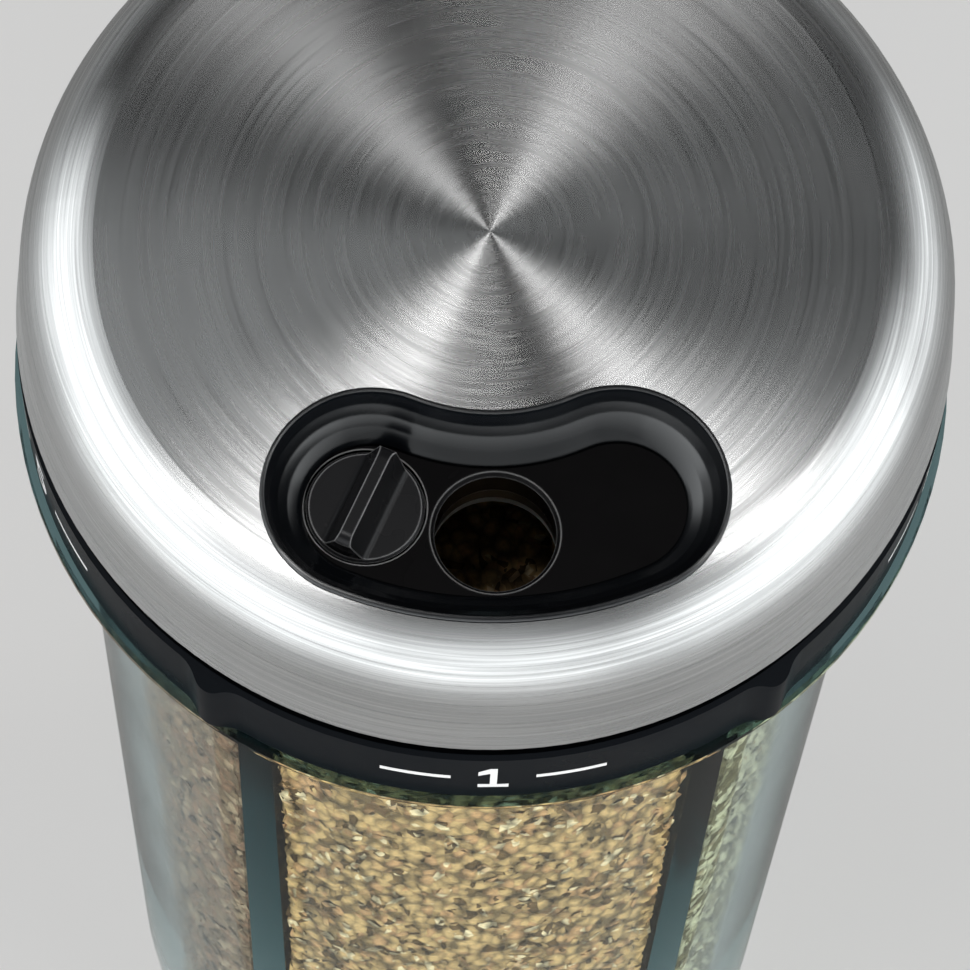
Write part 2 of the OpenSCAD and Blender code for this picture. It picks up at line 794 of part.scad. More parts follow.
// The window's space: a small bevel at its foot, then a hollow curve up to the lip.
module window_space() {
    foot = [window_floor_half_w + window_foot, window_floor_z + window_foot];
    bean_form(
        pitch_r, window_sweep,
        concat(
            [[window_floor_half_w, window_floor_z - cut], [window_floor_half_w, window_floor_z]],
            arc_points(foot, [lip_in_w, lip_z], window_dish_r, dish_steps),
            [[lip_in_w, window_top_z]]
        )
    );
}

module lid_screws() {
    color([0.72, 0.73, 0.74])
        around(lid_screw_count, back_azimuth)
            translate([0, -lid_screw_pitch_r, base_z])
                difference() {
                    union() {
                        cylinder(h = lid_head_h, r = lid_head_r);
                        cylinder(h = lid_screw_len, r = lid_screw_r);
                    }
                    cross_recess(lid_driver_d, lid_driver_l, lid_driver_d + cut);
                }
}

module steel_cap() {
    open_z = cap_z + cut;
    color([0.76, 0.77, 0.78])
        difference() {
            cap_form(0);
            difference() {
                union() {
                    cap_form(steel_t);
                    translate([0, 0, cap_z - cut])
                        cylinder(h = 2 * cut, r = cap_side_r(steel_t, open_z));
                }
                hem();
            }
            window_form(window_half_w, window_half_w, cap_z + cap_h / 2, window_top_z);
        }
}

// Ring of the steel folded inside along the lower edge.
module hem() {
    inset = steel_t + hem_t;
    hem_top_z = cap_z + hem_h;
    difference() {
        translate([0, 0, cap_z - cut]) cylinder(h = hem_h + cut, r = cap_r);
        translate([0, 0, cap_z])
            cylinder(h = hem_h, r1 = cap_side_r(inset, cap_z), r2 = cap_side_r(inset, hem_top_z));
    }
}

// ---------------------------------------------------------------- selector

module selector_disc() {
    web_z = selector_top_z - selector_web_t;
    color([0.05, 0.05, 0.055])
        difference() {
            rotate_extrude()
                polygon([
                    [selector_bore_r, selector_z], [hub_ring_r, selector_z], [hub_ring_r, web_z],
                    [track_in_r, web_z], [track_in_r, selector_z], [selector_r, selector_z],
                    [selector_r, selector_top_z], [selector_bore_r, selector_top_z]
                ]);
            pour_port();
            at_azimuth(-2 * port_step) shaker_holes();
            at_azimuth(-port_step)
                translate([0, -pitch_r, selector_top_z]) {
                    translate([0, 0, -grip_seat])
                        cylinder(h = grip_seat + cut, r = grip_r + grip_groove);
                    translate([0, 0, -selector_t - cut]) cylinder(h = selector_t, r = grip_pin_r);
                }
            stop_slot();
        }
}

module pour_port() {
    translate([0, -pitch_r, selector_z]) {
        translate([0, 0, -cut]) cylinder(h = selector_t + 2 * cut, r = port_r);
        translate([0, 0, selector_t - port_bevel])
            cylinder(h = port_bevel + eps_w, r1 = port_r, r2 = port_r + port_bevel + eps_w);
    }
}

module shaker_holes() {
    h = selector_t + 2 * cut;
    translate([0, -pitch_r, selector_z - cut]) {
        cylinder(h = h, r = shaker_hole_r);
        around(6) translate([0, -shaker_ring_r, 0]) cylinder(h = h, r = shaker_hole_r);
    }
}

// Arc slot in the web: the lid base's pin stands at one end of it at rest.
module stop_slot() {
    at_azimuth(back_azimuth - selector_travel / 2)
        bean_form(
            stop_r, selector_travel,
            [[stop_slot_r, selector_z - cut], [stop_slot_r, selector_top_z + cut]]
        );
}

module selector_grip() {
    button_h = grip_seat + grip_proud;
    edge_z = button_h - grip_edge;
    top_r = grip_r - grip_edge;
    color([0.05, 0.05, 0.055])
        at_azimuth(-port_step)
            translate([0, -pitch_r, selector_top_z - grip_seat]) {
                cylinder(h = edge_z, r = grip_r);
                translate([0, 0, edge_z]) cylinder(h = grip_edge, r1 = grip_r, r2 = top_r);
                translate([0, 0, grip_seat - selector_t + face_gap])
                    cylinder(h = selector_t - grip_seat, r = grip_pin_r);
                intersection() {
                    translate([0, 0, edge_z]) cylinder(h = fin_h + grip_edge, r = top_r);
                    translate([0, 0, button_h]) fin();
                    fin_ends(button_h);
                }
            }
}

// The fin's section, run along the radius through the button: a trapezoid with hollow fillets
// at its foot.
module fin() {
    f = fin_fillet;
    foot_w = fin_top_w / 2 + fin_flank_w;
    flank_n = [fin_h, fin_flank_w] / norm([fin_h, fin_flank_w]);
    fillet_c = [foot_w + f * (1 - flank_n.y) / flank_n.x, f];
    flank_end = fillet_c - f * flank_n;
    half = [
        [fillet_c.x, -fin_root], [fillet_c.x, 0], fillet_c, flank_end, [fin_top_w / 2, fin_h]
    ];
    rotate([90, 0, 0])
        translate([0, 0, -grip_r])
            linear_extrude(2 * grip_r)
                difference() {
                    polygon(concat(half, [for (i = [len(half) - 1 : -1 : 0]) [-half[i].x, half[i].y]]));
                    for (side = [-1, 1])
                        translate([side * fillet_c.x, f]) circle(r = f);
                }
}

// Side view of the fin with its rounded corners, run across it.
module fin_ends(low_z) {
    inner = grip_r - fin_end_r;
    rotate([90, 0, 90])
        translate([0, low_z - fin_root, -grip_r])
            linear_extrude(2 * grip_r) {
                translate([-grip_r, 0]) square([2 * grip_r, fin_root + fin_h - fin_end_r]);
                translate([-inner, 0]) square([2 * inner, fin_root + fin_h]);
                for (side = [-1, 1])
                    translate([side * inner, fin_root + fin_h - fin_end_r]) circle(r = fin_end_r);
            }
}

jar_body();
herb_fill(0);  // herb_fill_1
herb_fill(1);  // herb_fill_2
herb_fill(2);  // herb_fill_3
herb_fill(3);  // herb_fill_4
herb_fill(4);  // herb_fill_5
jar_gasket();
mouth_plate();
label_collar();
thrust_washer();
centre_screw();
pivot_bush();
lid_base();
sealing_disc();
click_spring();
outlet_ring();
lid_core();
lid_screws();
steel_cap();
selector_disc();
selector_grip();
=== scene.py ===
"""Five-compartment spice shaker: finishes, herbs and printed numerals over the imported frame.

Everything is in metres, in the frame's own axes: +Z up the jar, -Y out of the front panel, +X to
the right. Azimuths turn from -Y towards +X.
"""
import logging
import math
from dataclasses import dataclass
from enum import Enum, member
from functools import cache
from typing import Sequence, Union

import bmesh
import bpy
import numpy as np
from mathutils import Matrix, Vector
from mathutils.bvhtree import BVHTree


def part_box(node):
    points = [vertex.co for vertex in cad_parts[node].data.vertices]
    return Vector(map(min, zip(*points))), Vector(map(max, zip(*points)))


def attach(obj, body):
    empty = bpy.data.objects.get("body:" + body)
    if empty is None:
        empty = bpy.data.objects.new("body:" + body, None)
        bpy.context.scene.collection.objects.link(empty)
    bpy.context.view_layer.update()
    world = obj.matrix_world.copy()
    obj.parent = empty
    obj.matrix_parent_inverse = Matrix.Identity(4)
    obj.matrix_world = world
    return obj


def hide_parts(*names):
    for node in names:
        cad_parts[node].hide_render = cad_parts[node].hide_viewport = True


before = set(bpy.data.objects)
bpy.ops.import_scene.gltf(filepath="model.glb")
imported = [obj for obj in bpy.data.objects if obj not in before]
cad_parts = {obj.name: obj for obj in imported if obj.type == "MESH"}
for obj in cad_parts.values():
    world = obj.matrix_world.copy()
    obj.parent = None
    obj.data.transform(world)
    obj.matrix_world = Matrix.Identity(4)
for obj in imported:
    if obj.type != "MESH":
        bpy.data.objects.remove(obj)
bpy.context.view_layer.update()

MM = 0.001
COMPARTMENTS = 5
SECTOR_DEG = 360.0 / COMPARTMENTS
LEAF_RING = 5
LEAF_POINTS = LEAF_RING + 2
FONT_CAPITAL_SHARE = 0.7
SAME_POINT = 1e-7
FLECK_WARP = 1.2 * MM
FIRST_SEED = 10
COAT_SEED = 100

log = logging.getLogger("spice_shaker")

Colour = tuple[float, float, float]
Socket = bpy.types.NodeSocket
Node = bpy.types.Node
Feed = Union[float, Sequence[float], Socket]
Feeds = Union[Sequence[Feed], dict[Union[int, str], Feed]]


class Body(Enum):
    """The rigid bodies that the scene's own pieces ride on."""

    JAR = "jar"
    HEAD = "head"


# ---- node graphs


class Graph:
    """A node tree that is being wired."""

    def __init__(self, tree: bpy.types.NodeTree) -> None:
        """Starts on a tree.

        Args:
            tree: The tree to add to.
        """
        self.tree = tree

    def feed(self, socket: Socket, value: Feed) -> None:
        """Sets an input to a plain value or joins it to another socket.

        Args:
            socket: The input.
            value: A number, a vector, a colour or another node's output.
        """
        if isinstance(value, Socket):
            self.tree.links.new(value, socket)
        elif socket.type == "RGBA" and len(value) == 3:
            socket.default_value = (*value, 1.0)
        else:
            socket.default_value = value

    def add(self, kind: str, feeds: Feeds = (), **settings: object) -> Node:
        """Makes a node.

        Args:
            kind: Blender's name of the node type.
            feeds: What its inputs get, in their order or by name or index.
            settings: Attributes to set on it.

        Returns:
            The new node.
        """
        node = self.tree.nodes.new(kind)
        for name, value in settings.items():
            setattr(node, name, value)
        for label, value in feeds.items() if isinstance(feeds, dict) else enumerate(feeds):
            self.feed(node.inputs[label], value)
        return node

    def put(self, node: Node, **values: Feed) -> None:
        """Feeds a node's inputs, named with _ for a space."""
        for name, value in values.items():
            self.feed(node.inputs[name.replace("_", " ")], value)

    def math(self, operation: str, a: Feed, b: Feed = 0.0) -> Socket:
        """Joins two numbers by a Math node."""
        return self.add("ShaderNodeMath", (a, b), operation=operation).outputs[0]

    def times(self, a: Feed, b: Feed) -> Socket:
        """Multiplies two numbers."""
        return self.math("MULTIPLY", a, b)

    def plus(self, a: Feed, b: Feed) -> Socket:
        """Adds two numbers."""
        return self.math("ADD", a, b)

    def minus(self, a: Feed, b: Feed) -> Socket:
        """Takes the second number from the first."""
        return self.math("SUBTRACT", a, b)

    def radius_squared(self, x: Feed, y: Feed) -> Socket:
        """Returns the squared distance from the axis."""
        return self.plus(self.times(x, x), self.times(y, y))

    def remap(
        self, value: Feed, low: float, high: float, to_low: Feed = 0.0, to_high: Feed = 1.0,
        soft: bool = False,
    ) -> Socket:
        """Maps a value from one range to another, held inside it, and eases in and out if soft."""
        how = {"clamp": True, "interpolation_type": "SMOOTHSTEP" if soft else "LINEAR"}
        return self.add("ShaderNodeMapRange", (value, low, high, to_low, to_high), **how).outputs[0]

    def mix(self, factor: Feed, a: Feed, b: Feed, blend: str = "MIX") -> Socket:
        """Mixes two colours by the second one's share."""
        feeds = {0: factor, 6: a, 7: b}
        return self.add("ShaderNodeMix", feeds, data_type="RGBA", blend_type=blend).outputs[2]

    def choose(self, factor: Feed, no: Feed, yes: Feed) -> Socket:
        """Picks between two numbers by a factor of 0 or 1."""
        return self.add("ShaderNodeMix", {0: factor, 2: no, 3: yes}, data_type="FLOAT").outputs[0]

    def noise(self, vector: Feed, scale: Feed, detail: float = 2.0, rough: float = 0.5) -> Socket:
        """Makes a noise texture and returns its value."""
        feeds = {"Vector": vector, "Scale": scale, "Detail": detail, "Roughness": rough}
        return self.add("ShaderNodeTexNoise", feeds).outputs[0]

    def ramp(self, factor: Feed, stops: Sequence[tuple[float, Colour]]) -> Socket:
        """Looks a value up in a colour ramp.

        Args:
            factor: The value.
            stops: Each stop's place and colour.

        Returns:
            The colour.
        """
        node = self.add("ShaderNodeValToRGB", (factor,))
        elements = node.color_ramp.elements
        while len(elements) < len(stops):
            elements.new(0.5)
        for element, (place, colour) in zip(elements, stops):
            element.position = place
            element.color = (*colour, 1.0)
        return node.outputs[0]

    def join(self, x: Feed, y: Feed, z: Feed) -> Socket:
        """Joins three numbers into a vector."""
        return self.add("ShaderNodeCombineXYZ", (x, y, z)).outputs[0]

    def split(self, vector: Feed) -> Sequence[Socket]:
        """Splits a vector into its three numbers."""
        return self.add("ShaderNodeSeparateXYZ", (vector,)).outputs

    def vector(self, operation: str, *values: Feed) -> Socket:
        """Joins vectors by a Vector Math node and returns its vector, or a dot product's number."""
        node = self.add("ShaderNodeVectorMath", values, operation=operation)
        return node.outputs["Value" if operation == "DOT_PRODUCT" else "Vector"]

    def place(self) -> Socket:
        """Returns the object coordinates, in metres."""
        return self.add("ShaderNodeTexCoord").outputs["Object"]


def new_group(
    name: str, inputs: dict[str, float], outputs: Sequence[str]
) -> tuple[Graph, Sequence[Socket], Node]:
    """Starts a shader node group.

    Args:
        name: The group's name.
        inputs: Number inputs and their defaults.
        outputs: Names of outputs: a Normal is a vector, any other is a number.

    Returns:
        The graph, the inputs to read and the output node.
    """
    tree = bpy.data.node_groups.new(name, "ShaderNodeTree")
    for label, default in inputs.items():
        socket = tree.interface.new_socket(label, in_out="INPUT", socket_type="NodeSocketFloat")
        socket.default_value = default
    for label in outputs:
        kind = "NodeSocketVector" if label == "Normal" else "NodeSocketFloat"
        tree.interface.new_socket(label, in_out="OUTPUT", socket_type=kind)
    graph = Graph(tree)
    return graph, graph.add("NodeGroupInput").outputs, graph.add("NodeGroupOutput")


def turned_lines_group() -> bpy.types.NodeTree:
    """Builds the marks of a belt held to a spinning dome: rings that run round the axis.

    Returns:
        A group with inputs Fineness (lines for each metre), Wander (how soon a ring changes on its
        way round) and Sway (how far a ring leans along its own run), and outputs Tone, Band and
        Normal.
    """
    defaults = {"Fineness": 3000.0, "Wander": 2.0, "Sway": 0.08}
    g, given, out = new_group("turned_lines", defaults, ("Tone", "Band", "Normal"))
    x, y, z = g.split(g.place())
    radius = g.math("SQRT", g.radius_squared(x, y))
    run = g.minus(radius, z)
    safe = g.math("MAXIMUM", radius, 0.0002)
    east, north = g.math("DIVIDE", x, safe), g.math("DIVIDE", y, safe)

    def rings(share: float, wander: float, seed: float) -> Socket:
        """Makes rings round the axis.

        Args:
            share: Their fineness as a share of the group's.
            wander: Their change on the way round as a share of the group's.
            seed: Where the noise is looked up.

        Returns:
            The rings' noise.
        """
        across = g.times(run, g.times(given["Fineness"], share))
        drift = g.times(given["Wander"], wander)
        spot = g.join(across, g.times(east, drift), g.times(north, drift))
        return g.noise(g.vector("ADD", spot, (seed, 0.0, 0.0)), 1.0, 1.0)

    fine = g.times(rings(1.6, 1.0, 0.0), 0.35)
    middle = g.times(rings(0.6, 0.5, 40.0), 0.45)
    coarse = g.times(rings(0.17, 0.4, 90.0), 0.2)
    every = g.plus(g.plus(fine, middle), coarse)
    g.put(out, Tone=g.remap(every, 0.36, 0.64))
    g.put(out, Band=g.remap(rings(0.05, 0.3, 17.0), 0.35, 0.65))
    lean = g.plus(rings(1.2, 1.0, 230.0), g.times(rings(0.4, 0.4, 310.0), 0.4))
    lean = g.times(g.minus(lean, 0.7), given["Sway"])
    ways = {"vector_type": "VECTOR", "convert_from": "OBJECT", "convert_to": "WORLD"}
    turn = g.add("ShaderNodeVectorTransform", (g.join(g.times(north, -1.0), east, 0.0),), **ways)
    push = g.vector("MULTIPLY", turn.outputs[0], g.join(lean, lean, lean))
    face = g.add("ShaderNodeNewGeometry").outputs["Normal"]
    g.put(out, Normal=g.vector("NORMALIZE", g.vector("ADD", face, push)))
    return g.tree


def handling_group() -> bpy.types.NodeTree:
    """Builds the faint smudges and dust of use.

    Returns:
        A group with inputs Scale and Amount, and outputs Smudge and Speck.
    """
    g, given, out = new_group("handling_marks", {"Scale": 60.0, "Amount": 1.0}, ("Smudge", "Speck"))
    place = g.place()
    smudge = g.remap(g.noise(place, given["Scale"], 4.0, 0.6), 0.42, 0.7)
    fine = g.times(given["Scale"], 60.0)
    speck = g.remap(g.noise(place, fine, 1.0), 0.72, 0.8)
    g.put(out, Smudge=g.times(smudge, given["Amount"]), Speck=g.times(speck, given["Amount"]))
    return g.tree


def mould_grain_group() -> bpy.types.NodeTree:
    """Builds the fine spark-eroded grain of a moulded face.

    Returns:
        A group with input Scale and outputs Grain and Flow.
    """
    g, given, out = new_group("mould_grain", {"Scale": 9000.0}, ("Grain", "Flow"))
    place = g.place()
    flow = g.noise(place, g.times(given["Scale"], 0.012), 2.0)
    g.put(out, Grain=g.noise(place, given["Scale"], 2.0), Flow=flow)
    return g.tree


def soft_edge_group() -> bpy.types.NodeTree:
    """Builds the slight rounding of a moulding's edges.

    Returns:
        A group with input Radius and outputs Normal (rounded) and Edge (1 on an edge, 0 on a face).
    """
    g, given, out = new_group("soft_edge", {"Radius": 0.2 * MM}, ("Normal", "Edge"))
    soft = g.add("ShaderNodeBevel", {"Radius": given["Radius"]}, samples=6)
    face = g.add("ShaderNodeNewGeometry").outputs["Normal"]
    same = g.vector("DOT_PRODUCT", soft.outputs[0], face)
    g.put(out, Normal=soft.outputs[0], Edge=g.remap(same, 0.985, 0.93))
    return g.tree


def plant_fleck_group() -> bpy.types.NodeTree:
    """Builds the mixture of cut leaf, stalk and dust in dried herbs, with painted shade at the
    seams between pieces.

    Returns:
        A group with inputs Scale and Dark (how dark the painted shade at the cells' seams is), and
        outputs Pick (which plant piece), Shade (that painted seam shade with a random mottle) and
        Height.
    """
    defaults = {"Scale": 900.0, "Dark": 0.3}
    g, given, out = new_group("plant_flecks", defaults, ("Pick", "Shade", "Height"))
    place = g.place()
    scale = given["Scale"]
    warp = g.add("ShaderNodeTexNoise", {"Vector": place, "Scale": g.times(scale, 0.6)})
    bend = g.vector("MULTIPLY_ADD", warp.outputs["Color"], (FLECK_WARP,) * 3, place)
    stretched = g.add("ShaderNodeMapping", {"Vector": bend, "Scale": (1.0, 1.0, 0.5)})
    cells = g.add("ShaderNodeTexVoronoi", {"Vector": stretched.outputs[0], "Scale": scale})
    tint = g.add("ShaderNodeSeparateColor", (cells.outputs["Color"],))
    island = g.add("ShaderNodeNewGeometry").outputs["Random Per Island"]
    pick = g.math("FRACT", g.plus(g.times(tint.outputs[0], 0.45), g.times(island, 3.7)))
    lit = g.minus(1.0, given["Dark"])
    # Painted shade: each cell darkens towards its seam.
    seam = g.remap(cells.outputs["Distance"], 0.25, 0.75, 1.0, lit)
    spots = g.noise(place, g.times(scale, 2.5), 3.0)
    mottle = g.remap(spots, 0.3, 0.7, 0.8, 1.12)
    high = g.minus(1.0, cells.outputs["Distance"])
    g.put(out, Pick=pick, Shade=g.times(seam, mottle), Height=high)
    return g.tree


class Effect(Enum):
    """The shared surface effects: calling a value builds its node group once and hands it out."""

    TURNED_LINES = member(cache(turned_lines_group))
    HANDLING = member(cache(handling_group))
    MOULD_GRAIN = member(cache(mould_grain_group))
    PLANT_FLECKS = member(cache(plant_fleck_group))
    SOFT_EDGE = member(cache(soft_edge_group))


# ---- finishes


class Recipe:
    """A material that is being mixed: one Principled shader and the nodes that feed it."""

    def __init__(self, name: str) -> None:
        """Makes a material with a Principled shader at its output.

        Args:
            name: The material's name.
        """
        self.material = bpy.data.materials.new(name)
        self.material.use_nodes = True
        self.graph = Graph(self.material.node_tree)
        self.shader = next(n for n in self.material.node_tree.nodes if n.type == "BSDF_PRINCIPLED")
        self.out = next(n for n in self.material.node_tree.nodes if n.type == "OUTPUT_MATERIAL")

    def put(self, **values: Feed) -> None:
        """Feeds the shader's inputs, named with _ for a space."""
        self.graph.put(self.shader, **values)

    def effect(self, effect: Effect, **inputs: Feed) -> Node:
        """Places a shared effect, fed by its inputs' names, and returns its node."""
        return self.graph.add("ShaderNodeGroup", inputs, node_tree=effect.value())

    def either(self, factor: Feed, other: Node) -> None:
        """Puts the output to the Principled shader or another one.

        Args:
            factor: The other shader's share.
            other: The other shader's node.
        """
        feeds = (factor, self.shader.outputs[0], other.outputs[0])
        self.graph.put(self.out, Surface=self.graph.add("ShaderNodeMixShader", feeds).outputs[0])

    def bump(self, height: Feed, depth: float, normal: Union[Socket, None] = None) -> None:
        """Raises the surface by a height.

        Args:
            height: The height, from 0 to 1.
            depth: What a height of 1 is, in metres.
            normal: The normal to start from, where it isn't the face's own.
        """
        feeds = {"Strength": 1.0, "Distance": depth, "Height": height}
        node = self.graph.add("ShaderNodeBump", feeds)
        if normal is not None:
            self.graph.put(node, Normal=normal)
        self.put(Normal=node.outputs[0])


@dataclass(frozen=True)
class BrushedSteel:
    """Spun stainless steel, brushed round the axis."""

    name: str = "brushed_stainless"
    tone: Colour = (0.68, 0.68, 0.675)
    line_tone: Colour = (0.36, 0.36, 0.36)
    roughness: float = 0.25
    anisotropy: float = 0.97
    fineness: float = 3200.0
    wander: float = 2.0
    sway: float = 0.03
    lines_grip: float = 0.04

    def mix(self) -> bpy.types.Material:
        """Mixes the finish.

        Returns:
            The material.
        """
        recipe = Recipe(self.name)
        g = recipe.graph
        lines = recipe.effect(
            Effect.TURNED_LINES, Fineness=self.fineness, Wander=self.wander, Sway=self.sway
        )
        touch = recipe.effect(Effect.HANDLING, Scale=45.0, Amount=0.5)
        tone = lines.outputs["Tone"]
        share = g.plus(g.times(tone, 0.85), g.times(lines.outputs["Band"], 0.12))
        smooth, rough = self.roughness - self.lines_grip, self.roughness + self.lines_grip
        grip = g.remap(tone, 0.0, 1.0, smooth, rough)
        rough = g.plus(grip, g.times(touch.outputs["Smudge"], 0.03))
        along = g.add("ShaderNodeTangent", direction_type="RADIAL", axis="Z")
        colour = g.mix(share, self.tone, self.line_tone)
        recipe.put(Base_Color=colour, Metallic=1.0, Roughness=rough)
        recipe.put(Anisotropic=self.anisotropy, Anisotropic_Rotation=0.25, Tangent=along.outputs[0])
        recipe.put(Normal=lines.outputs["Normal"])
        return recipe.material


@dataclass(frozen=True)
class ClearMoulding:
    """Clear plastic with a sea-green tint that shows where the light runs far inside it, and
    painted dark teal shade on the dividers' sides and the flange's top edge.
    """

    name: str = "clear_sea_green_plastic"
    roughness: float = 0.045
    refraction: float = 1.09
    clear: Colour = (0.97, 0.99, 0.985)
    # Painted dark teal shade for the dividers' sides and the flange's top edge.
    edge_tint: Colour = (0.02, 0.05, 0.055)
    tint: Colour = (0.11, 0.39, 0.42)
    density: float = 35.0
    lamp_share: Colour = (0.95, 0.955, 0.95)
    flange_z: tuple[float, float] = (151.3 * MM, 152.2 * MM)
    flange_r: float = 37.4 * MM
    flange_fade: float = 1.5 * MM
    dividers_r: float = 35.0 * MM

    def deep_tint(self, g: Graph) -> Socket:
        """Masks where the painted dark shade goes: the dividers' sides and the flange's edge.

        Args:
            g: The material's graph.

        Returns:
            The mask.
        """
        x, y, z = g.split(g.place())
        radius = g.math("SQRT", g.radius_squared(x, y))
        face = g.add("ShaderNodeTexCoord").outputs["Normal"]
        outward = g.vector("DOT_PRODUCT", g.vector("NORMALIZE", g.join(x, y, 0.0)), face)
        upright = g.math("LESS_THAN", g.math("ABSOLUTE", g.split(face)[2]), 0.6)
        side = g.times(g.math("LESS_THAN", g.math("ABSOLUTE", outward), 0.55), upright)
        side = g.times(side, g.math("LESS_THAN", radius, self.dividers_r))
        low = g.math("GREATER_THAN", z, self.flange_z[0])
        rim = g.times(low, g.math("LESS_THAN", z, self.flange_z[1]))
        outer = g.remap(radius, self.flange_r - self.flange_fade, self.flange_r)
        return g.math("MAXIMUM", side, g.times(rim, outer))

    def mix(self) -> bpy.types.Material:
        """Mixes the finish.

        Returns:
            The material.
        """
        recipe = Recipe(self.name)
        g = recipe.graph
        touch = recipe.effect(Effect.HANDLING, Scale=55.0, Amount=1.0)
        smooth, rough = self.roughness * 0.6, self.roughness * 1.6
        rough = g.remap(touch.outputs["Smudge"], 0.0, 1.0, smooth, rough)
        # The base colour turns to the painted dark teal shade on the dividers' sides and the
        # flange's edge.
        recipe.put(Base_Color=g.mix(self.deep_tint(g), self.clear, self.edge_tint), Roughness=rough)
        recipe.put(IOR=self.refraction, Transmission_Weight=1.0)
        recipe.bump(touch.outputs["Smudge"], 0.004 * MM)
        through = g.add("ShaderNodeBsdfTransparent", (self.lamp_share,))
        recipe.either(g.add("ShaderNodeLightPath").outputs["Is Shadow Ray"], through)
        depth = g.add("ShaderNodeVolumeAbsorption", {"Color": self.tint, "Density": self.density})
        g.put(recipe.out, Volume=depth.outputs[0])
        return recipe.material


@dataclass(frozen=True)
class MouldedPlastic:
    """An opaque moulded plastic, from matte to glossy, with painted highlights on its edges where
    they are set.
    """

    name: str
    colour: Colour
    roughness: float
    grain_depth: float = 0.0015 * MM
    edge: float = 0.12 * MM
    dust: float = 0.3
    shine: float = 0.5
    # Colour of the painted highlights along the edges; black leaves none.
    edge_tone: Colour = (0.0, 0.0, 0.0)

    def mix(self) -> bpy.types.Material:
        """Mixes the finish.

        Returns:
            The material.
        """
        recipe = Recipe(self.name)
        g = recipe.graph
        grain = recipe.effect(Effect.MOULD_GRAIN, Scale=9000.0)
        touch = recipe.effect(Effect.HANDLING, Scale=70.0, Amount=1.0)
        soft = recipe.effect(Effect.SOFT_EDGE, Radius=self.edge)
        paler = tuple(min(1.0, c * 1.5 + 0.004) for c in self.colour)
        tone = g.mix(g.times(grain.outputs["Flow"], 0.35), self.colour, paler)
        dusty = tuple(min(1.0, c + 0.05) for c in self.colour)
        tone = g.mix(g.times(touch.outputs["Speck"], self.dust * 0.5), tone, dusty)
        # Painted highlights along the rounded edges.
        if any(self.edge_tone):
            tone = g.mix(soft.outputs["Edge"], tone, self.edge_tone)
        smooth, rough = self.roughness * 0.9, self.roughness * 1.25
        rough = g.remap(touch.outputs["Smudge"], 0.0, 1.0, smooth, rough)
        recipe.put(Base_Color=tone, Roughness=rough, IOR=1.5, Specular_IOR_Level=self.sheen(g))
        recipe.bump(grain.outputs["Grain"], self.grain_depth, soft.outputs["Normal"])
        return recipe.material

    def sheen(self, g: Graph) -> Feed:
        """Returns the strength of the plastic's mirroring."""
        return self.shine


@dataclass(frozen=True)
class DishedPlastic(MouldedPlastic):
    """A moulding with a hollow in a domed top, whose mirroring fades down the hollow's wall as
    painted shade.
    """

    dome_r: float = 132.0 * MM
    polished_to: float = 0.3 * MM
    dull_from: float = 2.1 * MM
    dull_share: float = 0.28

    def sheen(self, g: Graph) -> Feed:
        """Fades the mirroring by the depth below the dome, as painted shade of the hollow.

        Args:
            g: The material's graph.

        Returns:
            The strength of the mirroring.
        """
        x, y, z = g.split(g.place())
        sag = g.math("DIVIDE", g.radius_squared(x, y), 2 * self.dome_r)
        depth = g.minus(g.minus(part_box("lid_core")[1].z, sag), z)
        # Painted shade: the hollow's wall mirrors less the deeper it lies.
        recess_sheen = self.shine * self.dull_share
        return g.remap(depth, self.polished_to, self.dull_from, self.shine, recess_sheen)


@dataclass(frozen=True)
class PlainMetal:
    """A drawn or plated steel for screws and springs."""

    name: str
    colour: Colour
    roughness: float

    def mix(self) -> bpy.types.Material:
        """Mixes the finish.

        Returns:
            The material.
        """
        recipe = Recipe(self.name)
        g = recipe.graph
        grain = recipe.effect(Effect.MOULD_GRAIN, Scale=6000.0)
        worn = tuple(c * 0.7 for c in self.colour)
        tone = g.mix(g.remap(grain.outputs["Flow"], 0.35, 0.65), self.colour, worn)
        smooth, rough = self.roughness * 0.8, self.roughness * 1.3
        rough = g.remap(grain.outputs["Grain"], 0.3, 0.7, smooth, rough)
        recipe.put(Base_Color=tone, Metallic=1.0, Roughness=rough)
        soft = recipe.effect(Effect.SOFT_EDGE, Radius=0.06 * MM)
        recipe.bump(grain.outputs["Grain"], 0.003 * MM, soft.outputs["Normal"])
        return recipe.material


@dataclass(frozen=True)
class Silicone:
    """Translucent white silicone rubber."""

    name: str = "white_silicone"
    colour: Colour = (0.74, 0.74, 0.71)

    def mix(self) -> bpy.types.Material:
        """Mixes the finish.

        Returns:
            The material.
        """
        recipe = Recipe(self.name)
        g = recipe.graph
        grain = recipe.effect(Effect.MOULD_GRAIN, Scale=7000.0)
        deeper = tuple(c * 0.85 for c in self.colour)
        tone = g.mix(grain.outputs["Flow"], self.colour, deeper)
        recipe.put(Base_Color=tone, Roughness=0.55)
        recipe.put(Subsurface_Weight=0.2, Subsurface_Scale=0.6 * MM)
        soft = recipe.effect(Effect.SOFT_EDGE, Radius=0.1 * MM)
        recipe.bump(grain.outputs["Grain"], 0.002 * MM, soft.outputs["Normal"])
        return recipe.material


